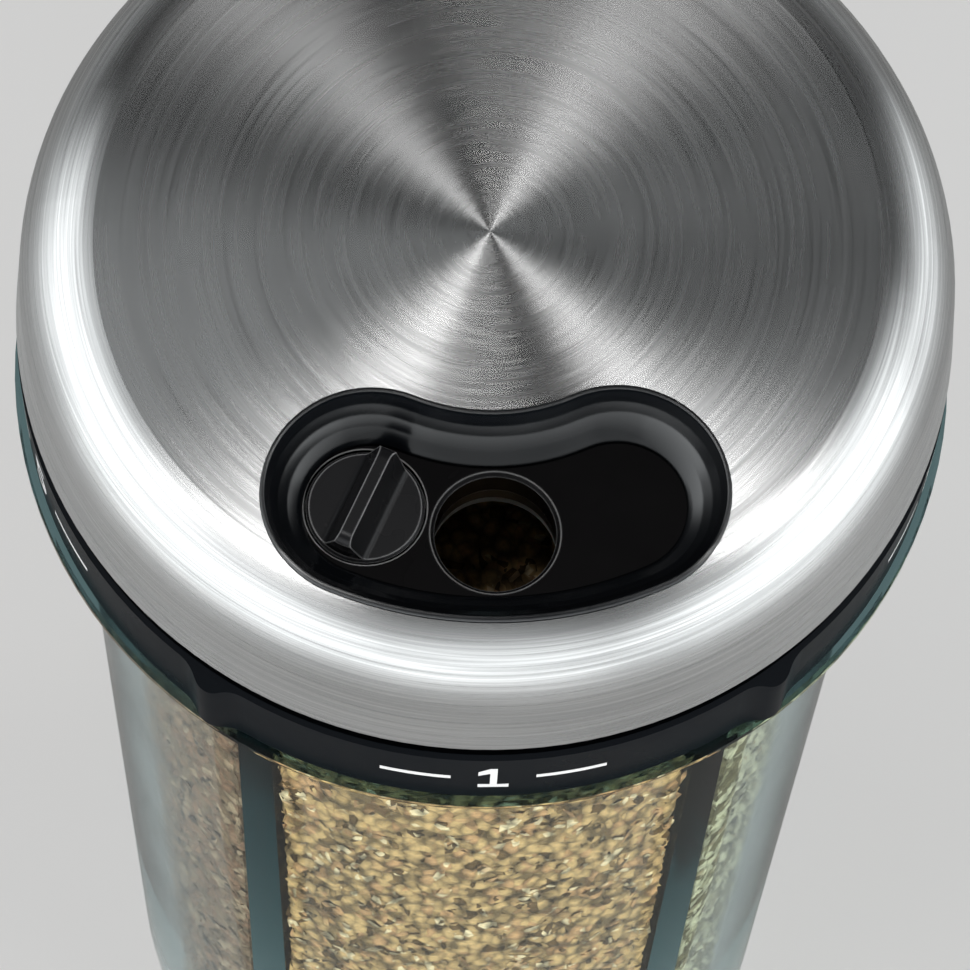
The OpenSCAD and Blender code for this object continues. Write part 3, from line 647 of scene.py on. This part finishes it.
@dataclass(frozen=True)
class DriedHerb:
    """Dried and cut herbs: pale, middle, warm and dark plant pieces mixed together, with painted
    shade at their seams.
    """

    name: str
    pale: Colour
    middle: Colour
    warm: Colour
    dark: Colour
    # How dark the painted shade at the seams between plant pieces is.
    gaps: float
    fleck_scale: float = 850.0

    def mix(self) -> bpy.types.Material:
        """Mixes the finish.

        Returns:
            The material.
        """
        recipe = Recipe(self.name)
        g = recipe.graph
        flecks = recipe.effect(Effect.PLANT_FLECKS, Scale=self.fleck_scale, Dark=self.gaps)
        stops = (
            (0.0, self.dark), (0.18, self.dark), (0.24, self.middle), (0.48, self.middle),
            (0.54, self.warm), (0.7, self.warm), (0.76, self.pale), (1.0, self.pale),
        )
        tone = g.ramp(flecks.outputs["Pick"], stops)
        shade = g.add("ShaderNodeCombineColor", (flecks.outputs["Shade"],) * 3)
        shaded = g.mix(1.0, tone, shade.outputs[0], "MULTIPLY")
        recipe.put(Base_Color=shaded, Roughness=0.8, Specular_IOR_Level=0.3)
        recipe.bump(flecks.outputs["Height"], 0.1 * MM)
        return recipe.material


@dataclass(frozen=True)
class PrintInk:
    """White pad-printing ink."""

    name: str = "white_print"
    colour: Colour = (0.86, 0.87, 0.87)

    def mix(self) -> bpy.types.Material:
        """Mixes the finish.

        Returns:
            The material.
        """
        recipe = Recipe(self.name)
        g = recipe.graph
        grain = recipe.effect(Effect.MOULD_GRAIN, Scale=12000.0)
        thin = tuple(c * 0.9 for c in self.colour)
        tone = g.mix(g.remap(grain.outputs["Grain"], 0.4, 0.7), self.colour, thin)
        recipe.put(Base_Color=tone, Roughness=0.42)
        recipe.bump(grain.outputs["Grain"], 0.002 * MM)
        return recipe.material


class Finish(Enum):
    """Every finish on the shaker."""

    CAP = BrushedSteel()
    CLEAR = ClearMoulding()
    GLOSS_BLACK = DishedPlastic(
        "gloss_black_plastic", (0.004, 0.0052, 0.007), 0.22, 0.0004 * MM,
        edge=0.3 * MM, dust=0.05, shine=0.75,
    )
    SATIN_BLACK = MouldedPlastic("satin_black_plastic", (0.016, 0.016, 0.018), 0.33)
    COLLAR_BLACK = MouldedPlastic(
        "collar_black_plastic", (0.004, 0.005, 0.0065), 0.3, 0.001 * MM, dust=0.1, shine=0.015
    )
    # The selector's and the grip's edges get painted highlights.
    SELECTOR_BLACK = MouldedPlastic(
        "selector_black_plastic", (0.006, 0.0055, 0.006), 0.3, 0.0005 * MM,
        edge=0.22 * MM, dust=0.03, shine=0.05, edge_tone=(0.85, 0.85, 0.85),
    )
    GRIP_BLACK = MouldedPlastic(
        "grip_black_plastic", (0.02, 0.02, 0.022), 0.3, 0.0005 * MM,
        edge=0.2 * MM, dust=0.03, shine=0.2, edge_tone=(0.85, 0.85, 0.86),
    )
    NATURAL = MouldedPlastic("natural_nylon", (0.72, 0.69, 0.60), 0.42)
    SCREW = PlainMetal("plated_screw_steel", (0.66, 0.67, 0.69), 0.3)
    SPRING = PlainMetal("spring_strip_steel", (0.60, 0.61, 0.64), 0.22)
    SILICONE = Silicone()
    INK = PrintInk()

    @property
    def material(self) -> bpy.types.Material:
        """The finish's material, mixed at first use."""
        found = bpy.data.materials.get(self.value.name)
        return found or self.value.mix()


def dress(node: str, finish: Finish) -> None:
    """Gives a frame node its finish.

    Args:
        node: The node's name.
        finish: The finish for its whole surface.
    """
    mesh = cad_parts[node].data
    mesh.materials.clear()
    mesh.materials.append(finish.material)
    log.info("dressed %s in %s", node, finish.value.name)


def place_object(name: str, data: bpy.types.ID) -> bpy.types.Object:
    """Makes an object and links it to the scene.

    Args:
        name: The object's name.
        data: Its mesh, curve, camera or light.

    Returns:
        The new object.
    """
    item = bpy.data.objects.new(name, data)
    bpy.context.scene.collection.objects.link(item)
    return item


# ---- sub-assemblies


@dataclass
class ClearJar:
    """The clear jar with its compartments."""

    node: str = "jar_body"

    def build(self) -> None:
        """Dresses the jar."""
        dress(self.node, Finish.CLEAR)


@dataclass
class HerbBed:
    """The dried herbs in one compartment: a packed core under a coat of cut leaf and stalk."""

    number: int
    herb: DriedHerb
    flakes: int
    slot: str
    seed: int
    leaf_length: float = 3.4 * MM
    leaf_width: float = 1.1 * MM
    leaf_thickness: float = 0.2 * MM
    coat_depth: float = 0.8 * MM
    core_step: float = 0.9 * MM
    upright: float = 3.0
    length_spread: float = 0.35
    width_spread: float = 0.3
    steepest: float = 0.9
    leaf_shapes: int = 24

    @property
    def node(self) -> str:
        """The frame node that the bed stands for."""
        return f"herb_fill_{self.number}"

    def core(self) -> bpy.types.Object:
        """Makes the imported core: the filling's form, drawn in a little and left lumpy.

        Returns:
            The core, linked to the scene.
        """
        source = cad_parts[self.node]
        lump = place_object(f"herbs_{self.number}", source.data.copy())
        remesh = lump.modifiers.new("even_cells", "REMESH")
        remesh.mode = "VOXEL"
        remesh.voxel_size = self.core_step
        graph = bpy.context.evaluated_depsgraph_get()
        mesh = bpy.data.meshes.new_from_object(lump.evaluated_get(graph))
        lump.modifiers.clear()
        lump.data = mesh
        count = len(mesh.vertices)
        points, normals = np.zeros((2, count, 3), np.float32)
        mesh.vertices.foreach_get("co", points.ravel())
        mesh.vertex_normals.foreach_get("vector", normals.ravel())
        rng = np.random.default_rng(self.seed)
        sunk = self.coat_depth * (0.2 + 0.5 * rng.random(count))
        points -= normals * sunk[:, None]
        mesh.vertices.foreach_set("co", points.ravel())
        mesh.update()
        return lump

    def leaf_template(self, rng: np.random.Generator) -> np.ndarray:
        """Cuts one leaf in its own plane.

        Args:
            rng: The random numbers to draw from.

        Returns:
            A ragged ring of points and the two crowns over and under it.
        """
        turns = np.arange(LEAF_RING) * math.tau / LEAF_RING + rng.uniform(-0.35, 0.35, LEAF_RING)
        reach = rng.uniform(0.7, 1.15, LEAF_RING)
        lift = rng.uniform(-0.1, 0.1, LEAF_RING)
        ring = np.stack([np.cos(turns) * reach / 2, np.sin(turns) * reach / 2, lift], 1)
        crowns = np.array([[0.0, 0.0, 0.5], [0.0, 0.0, -0.5]])
        return np.concatenate([ring, crowns])

    def leaves(self) -> tuple[np.ndarray, np.ndarray]:
        """Scatters the coat of leaves just inside the filling's faces.

        Returns:
            The points and triangles of all leaves.
        """
        rng = np.random.default_rng(self.seed + COAT_SEED)
        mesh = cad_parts[self.node].data
        mesh.calc_loop_triangles()
        points = np.array([v.co[:] for v in mesh.vertices])
        tris = np.array([t.vertices[:] for t in mesh.loop_triangles])
        a, b, c = points[tris[:, 0]], points[tris[:, 1]], points[tris[:, 2]]
        cross = np.cross(b - a, c - a)
        area = np.linalg.norm(cross, axis=1)
        keep = area > 1e-12
        a, b, c, cross, area = a[keep], b[keep], c[keep], cross[keep], area[keep]
        normal = cross / area[:, None]
        weight = area * self.face_share(normal, (a + b + c) / 3)
        chosen = rng.choice(len(area), self.flakes, p=weight / weight.sum())
        u, v = rng.random(self.flakes), rng.random(self.flakes)
        over = u + v > 1
        u[over], v[over] = 1 - u[over], 1 - v[over]
        spot = a[chosen] + (b - a)[chosen] * u[:, None] + (c - a)[chosen] * v[:, None]
        out = normal[chosen]
        depth = self.coat_depth * rng.random(self.flakes) ** 0.8
        spot = spot - out * (depth + self.leaf_thickness)[:, None]
        lie = rng.normal(size=(self.flakes, 3))
        lie[:, 2] += self.upright * rng.choice([-1, 1], self.flakes)
        side = lie - out * (lie * out).sum(1)[:, None]
        side /= np.linalg.norm(side, axis=1)[:, None]
        long_ = self.leaf_length * rng.lognormal(0.0, self.length_spread, self.flakes)
        wide = self.leaf_width * rng.lognormal(0.0, self.width_spread, self.flakes)
        wide = np.minimum(wide, long_)
        tilt = rng.uniform(-1, 1, self.flakes) * np.minimum(self.steepest, depth / long_ * 1.9)
        across = np.cross(out, side)
        along = side * np.cos(tilt)[:, None] + out * np.sin(tilt)[:, None]
        up = np.cross(along, across)
        shapes = np.stack([self.leaf_template(rng) for _ in range(self.leaf_shapes)])
        shape = shapes[rng.integers(0, len(shapes), self.flakes)]
        leaf = (
            spot[:, None, :]
            + shape[:, :, 0:1] * (along * long_[:, None])[:, None, :]
            + shape[:, :, 1:2] * (across * wide[:, None])[:, None, :]
            + shape[:, :, 2:3] * (up * self.leaf_thickness)[:, None, :]
        )
        leaf = leaf[self.inside(leaf, points, tris)]
        ring = np.arange(LEAF_RING)
        after = (ring + 1) % LEAF_RING
        top = np.stack([ring, after, np.full(LEAF_RING, LEAF_RING)], 1)
        under = np.stack([after, ring, np.full(LEAF_RING, LEAF_RING + 1)], 1)
        one = np.concatenate([top, under])
        faces = (one[None] + (np.arange(len(leaf)) * LEAF_POINTS)[:, None, None]).reshape(-1, 3)
        return leaf.reshape(-1, 3), faces

    def face_share(self, normal: np.ndarray, centre: np.ndarray) -> np.ndarray:
        """Says how thickly each face is strewn: most on the top and the outer wall.

        Args:
            normal: One row for each face's direction.
            centre: One row for each face's middle.

        Returns:
            A share for each face.
        """
        radius = np.linalg.norm(centre[:, :2], axis=1)
        outward = (normal[:, :2] * centre[:, :2]).sum(1) / np.maximum(radius, 1e-6)
        share = np.full(len(normal), 0.4)
        share[outward > 0.8] = 1.0
        share[normal[:, 2] > 0.8] = 1.6
        share[normal[:, 2] < -0.8] = 0.35
        return share

    def inside(self, leaf: np.ndarray, points: np.ndarray, tris: np.ndarray) -> np.ndarray:
        """Tells which leaves lie wholly inside the filling.

        Args:
            leaf: The points of each leaf.
            points: The filling's points.
            tris: The filling's triangles.

        Returns:
            True for each leaf that does.
        """
        tree = BVHTree.FromPolygons([Vector(p) for p in points], [tuple(t) for t in tris])
        good = np.ones(len(leaf), bool)
        for k, corners in enumerate(leaf):
            for corner in corners[:LEAF_RING]:
                spot = Vector(corner)
                near, normal, _, _ = tree.find_nearest(spot)
                if (spot - near).dot(normal) > 0:
                    good[k] = False
                    break
        return good

    def build(self) -> None:
        """Makes the bed and sets it in its compartment."""
        core = self.core()
        points, faces = self.leaves()
        coat = bpy.data.meshes.new("coat")
        coat.from_pydata(points, [], faces)
        work = bmesh.new()
        work.from_mesh(core.data)
        bmesh.ops.triangulate(work, faces=work.faces)
        work.from_mesh(coat)
        work.to_mesh(core.data)
        work.free()
        bpy.data.meshes.remove(coat)
        core.data.materials.clear()
        core.data.materials.append(self.herb.mix())
        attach(core, Body.JAR.value)
        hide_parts(self.node)
        leaves = len(points) // LEAF_POINTS
        log.info("%s: %d leaves, %d faces", core.name, leaves, len(core.data.polygons))


@dataclass
class LabelHead:
    """The head's visible pieces: the collar and the numerals printed on its panels."""

    numeral_h: float = 4.8 * MM
    ink_t: float = 0.02 * MM
    curve_steps: int = 6
    swell: float = 0.015
    bar_near: float = 3.6 * MM
    bar_far: float = 9.6 * MM
    bar_h: float = 0.7 * MM
    one_stem: float = 0.6 * MM
    one_foot: float = 2.6 * MM
    one_foot_h: float = 0.8 * MM
    one_flag: float = 0.9 * MM

    def glyph(self, work: bmesh.types.BMesh, number: int) -> None:
        """Draws a numeral from Blender's own font.

        Args:
            work: The mesh to draw in.
            number: The numeral.
        """
        curve = bpy.data.curves.new(f"numeral_{number}", "FONT")
        curve.body = str(number)
        curve.align_x = "CENTER"
        curve.size = self.numeral_h / FONT_CAPITAL_SHARE
        curve.offset = self.swell * self.numeral_h
        curve.extrude = self.ink_t / 2
        curve.resolution_u = self.curve_steps
        text = place_object(curve.name, curve)
        graph = bpy.context.evaluated_depsgraph_get()
        mesh = bpy.data.meshes.new_from_object(text.evaluated_get(graph))
        work.from_mesh(mesh)
        bpy.data.objects.remove(text)
        bpy.data.meshes.remove(mesh)

    def numeral(self, number: int) -> bpy.types.Object:
        """Makes one numeral and wraps it on its panel.

        Args:
            number: The compartment's number, from 1.

        Returns:
            The printed numeral as a thin mesh.
        """
        low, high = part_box("label_collar")
        face_r = self.face_radius()
        work = bmesh.new()
        if number == 1:
            self.one(work)
        else:
            self.glyph(work, number)
        bmesh.ops.remove_doubles(work, verts=work.verts, dist=SAME_POINT)
        self.bar(work, -self.bar_far, -self.bar_near)
        self.bar(work, self.bar_near, self.bar_far)
        bmesh.ops.triangulate(work, faces=work.faces)
        middle_z = (low.z + high.z) / 2
        azimuth = math.radians((number - 1) * SECTOR_DEG)
        for vertex in work.verts:
            turn = azimuth + vertex.co.x / face_r
            radius = face_r + self.ink_t / 2 + vertex.co.z
            height = middle_z + vertex.co.y - self.numeral_h / 2
            vertex.co = Vector((radius * math.sin(turn), -radius * math.cos(turn), height))
        mesh = bpy.data.meshes.new(f"numeral_{number}")
        work.to_mesh(mesh)
        work.free()
        return place_object(f"numeral_{number}", mesh)

    def one(self, work: bmesh.types.BMesh) -> None:
        """Draws a 1 with a flag and a foot, which stays readable from far above.

        Args:
            work: The mesh to draw in.
        """
        high, skin = self.numeral_h, self.ink_t / 2
        stem, foot, foot_h = self.one_stem / 2, self.one_foot / 2, self.one_foot_h
        outline = (
            (-foot, 0.0), (foot, 0.0), (foot, foot_h), (stem, foot_h), (stem, high), (-stem, high),
            (-foot, high - self.one_flag), (-foot, high - 2 * self.one_flag),
            (-stem, high - 1.4 * self.one_flag), (-stem, foot_h), (-foot, foot_h),
        )
        under, over = ([work.verts.new((x, y, z)) for x, y in outline] for z in (-skin, skin))
        work.faces.new(list(reversed(under)))
        work.faces.new(over)
        for k in range(len(outline)):
            after = (k + 1) % len(outline)
            work.faces.new((under[k], under[after], over[after], over[k]))

    def bar(self, work: bmesh.types.BMesh, left: float, right: float) -> None:
        """Adds a bar beside a numeral, at its half height and still flat.

        Args:
            work: The mesh to draw in.
            left: The bar's left end.
            right: The bar's right end.
        """
        middle, half, skin = self.numeral_h / 2, self.bar_h / 2, self.ink_t / 2
        low, high = middle - half, middle + half
        corners = ((low, -skin), (low, skin), (high, skin), (high, -skin))
        steps = 2 * self.curve_steps
        columns = [
            [work.verts.new((left + (right - left) * step / steps, y, z)) for y, z in corners]
            for step in range(steps + 1)
        ]
        for here, there in zip(columns, columns[1:]):
            for k in range(4):
                work.faces.new((here[k], here[(k + 1) % 4], there[(k + 1) % 4], there[k]))
        work.faces.new(list(reversed(columns[0])))
        work.faces.new(columns[-1])
        bmesh.ops.recalc_face_normals(work, faces=work.faces)

    def face_radius(self) -> float:
        """Reads the radius of the label panels off the collar's front.

        Returns:
            The radius, in metres.
        """
        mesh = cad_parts["label_collar"].data
        front = [v.co for v in mesh.vertices if abs(v.co.x) < 0.6 * abs(v.co.y) and v.co.y < 0]
        return max(math.hypot(p.x, p.y) for p in front)

    def build(self) -> None:
        """Dresses the head and prints its panels."""
        dress("label_collar", Finish.COLLAR_BLACK)
        dress("mouth_plate", Finish.SATIN_BLACK)
        dress("jar_gasket", Finish.SILICONE)
        dress("thrust_washer", Finish.NATURAL)
        dress("centre_screw", Finish.SCREW)
        for number in range(1, COMPARTMENTS + 1):
            piece = self.numeral(number)
            piece.data.materials.append(Finish.INK.material)
            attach(piece, Body.HEAD.value)
            log.info("printed %s", piece.name)


@dataclass
class SteelLid:
    """The turning lid: steel cap, black core and the pieces between."""

    def build(self) -> None:
        """Dresses the lid."""
        dress("steel_cap", Finish.CAP)
        dress("lid_core", Finish.GLOSS_BLACK)
        dress("lid_base", Finish.SATIN_BLACK)
        dress("pivot_bush", Finish.NATURAL)
        dress("sealing_disc", Finish.SILICONE)
        dress("outlet_ring", Finish.SILICONE)
        dress("click_spring", Finish.SPRING)
        dress("lid_screws", Finish.SCREW)


@dataclass
class Selector:
    """The sliding selector and its grip."""

    def build(self) -> None:
        """Dresses the selector."""
        dress("selector_disc", Finish.SELECTOR_BLACK)
        dress("selector_grip", Finish.GRIP_BLACK)


# ---- studio


@dataclass(frozen=True)
class Viewpoint:
    """The camera's place and direction, from the middle of the cap's lower edge."""

    lens_mm: float = 178.14
    sensor_mm: float = 36.0
    turn_deg: float = -4.8
    below_horizon_deg: float = 68.2535
    roll_deg: float = 3.8717
    across: float = 0.98 * MM
    back: float = 166.02 * MM
    above: float = 374.82 * MM

    def build(self) -> None:
        """Sets the scene's camera."""
        data = bpy.data.cameras.new("camera")
        data.lens = self.lens_mm
        data.sensor_width = self.sensor_mm
        data.sensor_fit = "HORIZONTAL"
        data.clip_start = 0.01
        data.clip_end = 20.0
        camera = place_object("camera", data)
        rim_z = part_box("steel_cap")[0].z
        turn = Matrix.Rotation(math.radians(self.turn_deg), 4, "Z")
        tilt = Matrix.Rotation(math.radians(90 - self.below_horizon_deg), 4, "X")
        roll = Matrix.Rotation(math.radians(self.roll_deg), 4, "Z")
        spot = turn @ Vector((self.across, -self.back, self.above)) + Vector((0, 0, rim_z))
        camera.matrix_world = Matrix.Translation(spot) @ turn @ tilt @ roll
        bpy.context.scene.camera = camera


@dataclass(frozen=True)
class Softbox:
    """A soft rectangular lamp aimed at the cap."""

    name: str
    azimuth_deg: float
    elevation_deg: float
    distance: float
    width: float
    height: float
    power: float
    mirrored: bool = True

    def build(self, target: Vector) -> None:
        """Hangs the lamp and turns it to the target.

        Args:
            target: The point that it is aimed at.
        """
        data = bpy.data.lights.new(self.name, "AREA")
        data.shape = "RECTANGLE"
        data.size = self.width
        data.size_y = self.height
        data.energy = self.power
        lamp = place_object(self.name, data)
        away = toward(self.azimuth_deg, self.elevation_deg)
        lamp.location = target + away * self.distance
        lamp.rotation_euler = away.to_track_quat("Z", "Y").to_euler()
        lamp.visible_glossy = self.mirrored
        lamp.visible_transmission = self.mirrored


def toward(azimuth_deg: float, elevation_deg: float) -> Vector:
    """Gives a direction.

    Args:
        azimuth_deg: The azimuth, from -Y towards +X.
        elevation_deg: The angle above the horizon.

    Returns:
        The direction, of length 1.
    """
    azimuth, elevation = math.radians(azimuth_deg), math.radians(elevation_deg)
    flat = math.cos(elevation)
    return Vector((math.sin(azimuth) * flat, -math.cos(azimuth) * flat, math.sin(elevation)))


@dataclass(frozen=True)
class Screen:
    """A soft bright patch of the surroundings, for what mirrors them."""

    azimuth_deg: float
    elevation_deg: float
    full_deg: float
    fade_deg: float
    strength: float

    def shine(self, g: Graph, direction: Socket) -> Socket:
        """Gives the patch's light.

        Args:
            g: The world's graph.
            direction: The direction that is looked in.

        Returns:
            The light's strength.
        """
        middle = toward(self.azimuth_deg, self.elevation_deg)
        near = g.vector("DOT_PRODUCT", direction, tuple(middle))
        out = math.cos(math.radians(self.fade_deg))
        full = math.cos(math.radians(self.full_deg))
        return g.remap(near, out, full, 0.0, self.strength, soft=True)


@dataclass(frozen=True)
class Studio:
    """Pale floor, pale surroundings and soft lamps."""

    floor_side: float = 6.0
    floor_tone: Colour = (0.78, 0.78, 0.775)
    seen_share: float = 0.55
    seen_tone: Colour = (0.86, 0.86, 0.855)
    sky_high: float = 0.012
    sky_low: float = 0.95
    sky_fill: float = 0.05
    sky_limit: float = 2.5
    mirrored_tone: Colour = (0.95, 0.985, 1.0)
    screens: tuple[Screen, ...] = (
        Screen(0.0, 21.0, 17.0, 41.0, 2.0),
        Screen(61.0, 19.0, 17.0, 38.0, 3.0),
        Screen(-60.0, 20.0, 17.0, 40.0, 3.4),
        Screen(-103.0, 38.0, 10.0, 34.0, 2.8),
        Screen(90.0, 45.0, 6.0, 24.0, 2.0),
        Screen(-111.0, 6.0, 4.0, 24.0, 0.6),
        Screen(111.0, 9.0, 4.0, 26.0, 1.7),
    )
    lamps: tuple[Softbox, ...] = (
        Softbox("lamp_over_right", 117.0, 73.5, 1.1, 0.09, 0.12, 0.65),
        Softbox("lamp_over_right_soft", 104.5, 68.5, 1.15, 0.28, 0.14, 0.6),
        Softbox("lamp_over_left", -109.0, 78.2, 1.1, 0.28, 0.18, 1.45),
        Softbox("lamp_over_back", -168.8, 79.6, 1.1, 0.24, 0.08, 0.36),
        Softbox("lamp_far_left", -97.4, 67.3, 1.1, 0.20, 0.14, 0.25),
        Softbox("lamp_left", -62, 1, 1.2, 0.5, 0.2, 5.5, mirrored=False),
        Softbox("lamp_right", 60, 1, 1.2, 0.5, 0.2, 6.0, mirrored=False),
        Softbox("lamp_front", 0, 1, 1.3, 0.9, 0.2, 11.0, mirrored=False),
    )

    def floor(self) -> None:
        """Lays the floor under the foot."""
        mesh = bpy.data.meshes.new("floor")
        half = self.floor_side / 2
        corners = [(-half, -half, 0), (half, -half, 0), (half, half, 0), (-half, half, 0)]
        mesh.from_pydata(corners, [], [(0, 1, 2, 3)])
        floor = place_object("floor", mesh)
        floor.location.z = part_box("jar_body")[0].z - 0.02 * MM
        recipe = Recipe("studio_floor")
        g = recipe.graph
        soft = g.noise(g.place(), 3.0, 2.0)
        paler = tuple(c * 1.03 for c in self.floor_tone)
        recipe.put(Base_Color=g.mix(soft, self.floor_tone, paler), Roughness=0.7)
        glow = g.add("ShaderNodeEmission", (self.seen_tone,))
        ray = g.add("ShaderNodeLightPath").outputs
        seen = g.math("MAXIMUM", ray["Is Camera Ray"], ray["Is Transmission Ray"])
        recipe.either(g.times(seen, self.seen_share), glow)
        mesh.materials.append(recipe.material)

    def sky(self) -> None:
        """Sets the surroundings: white, and for mirrors dim overhead with soft bright screens."""
        world = bpy.data.worlds.new("studio")
        bpy.context.scene.world = world
        world.use_nodes = True
        g = Graph(world.node_tree)
        background = next(n for n in world.node_tree.nodes if n.type == "BACKGROUND")
        direction = g.vector("NORMALIZE", g.add("ShaderNodeTexCoord").outputs["Generated"])
        height = g.math("MAXIMUM", g.split(direction)[2], 0.0)
        low = g.times(g.math("POWER", g.minus(1.0, height), 8.0), self.sky_low)
        mirrored = g.plus(low, self.sky_high)
        for screen in self.screens:
            mirrored = g.plus(mirrored, screen.shine(g, direction))
        mirrored = g.math("MINIMUM", mirrored, self.sky_limit)
        ray = g.add("ShaderNodeLightPath").outputs
        plain = g.math("MAXIMUM", ray["Is Camera Ray"], ray["Is Transmission Ray"])
        glossy = ray["Is Glossy Ray"]
        strength = g.choose(plain, g.choose(glossy, self.sky_fill, mirrored), 1.0)
        tone = g.mix(glossy, (1.0, 1.0, 1.0), self.mirrored_tone)
        g.put(background, Color=tone, Strength=strength)

    def build(self) -> None:
        """Sets up the floor, the surroundings and the lamps."""
        bpy.context.scene.view_settings.view_transform = "Standard"
        self.floor()
        self.sky()
        target = Vector((0, 0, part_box("steel_cap")[1].z))
        for lamp in self.lamps:
            lamp.build(target)
            log.info("hung %s", lamp.name)


# Each row: herb name, slot, leaf count, painted seam shade, then the pale, middle, warm and dark
# tones.
HERB_ROWS = (
    (
        "tan_herb", "herb_tan", 8000, 0.75,
        (0.97, 0.77, 0.46), (0.70, 0.46, 0.20), (0.64, 0.37, 0.17), (0.15, 0.085, 0.03),
    ),
    (
        "cream_herb", "herb_cream", 6500, 0.45,
        (0.66, 0.64, 0.42), (0.44, 0.42, 0.25), (0.42, 0.35, 0.20), (0.18, 0.16, 0.08),
    ),
    (
        "olive_herb", "herb_green", 5000, 0.45,
        (0.40, 0.38, 0.18), (0.24, 0.23, 0.09), (0.26, 0.19, 0.09), (0.06, 0.06, 0.02),
    ),
    (
        "red_spice", "spice_red", 5000, 0.45,
        (0.60, 0.26, 0.10), (0.38, 0.11, 0.04), (0.62, 0.38, 0.14), (0.13, 0.03, 0.015),
    ),
    (
        "brown_herb", "herb_brown", 6500, 0.45,
        (0.46, 0.34, 0.22), (0.26, 0.18, 0.11), (0.30, 0.18, 0.11), (0.08, 0.05, 0.03),
    ),
)
HERBS = tuple(
    HerbBed(number, DriedHerb(name, *tones, gaps=gaps), flakes, slot, FIRST_SEED + number)
    for number, (name, slot, flakes, gaps, *tones) in enumerate(HERB_ROWS, 1)
)


def main() -> None:
    """Builds the shaker's looks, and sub-assembly by sub-assembly."""
    logging.basicConfig(level=logging.INFO, format="%(name)s: %(message)s")
    Viewpoint().build()
    for part in (ClearJar(), *HERBS, LabelHead(), SteelLid(), Selector()):
        part.build()
        log.info("built %s", type(part).__name__)
    Studio().build()


if __name__ == "__main__":
    main()
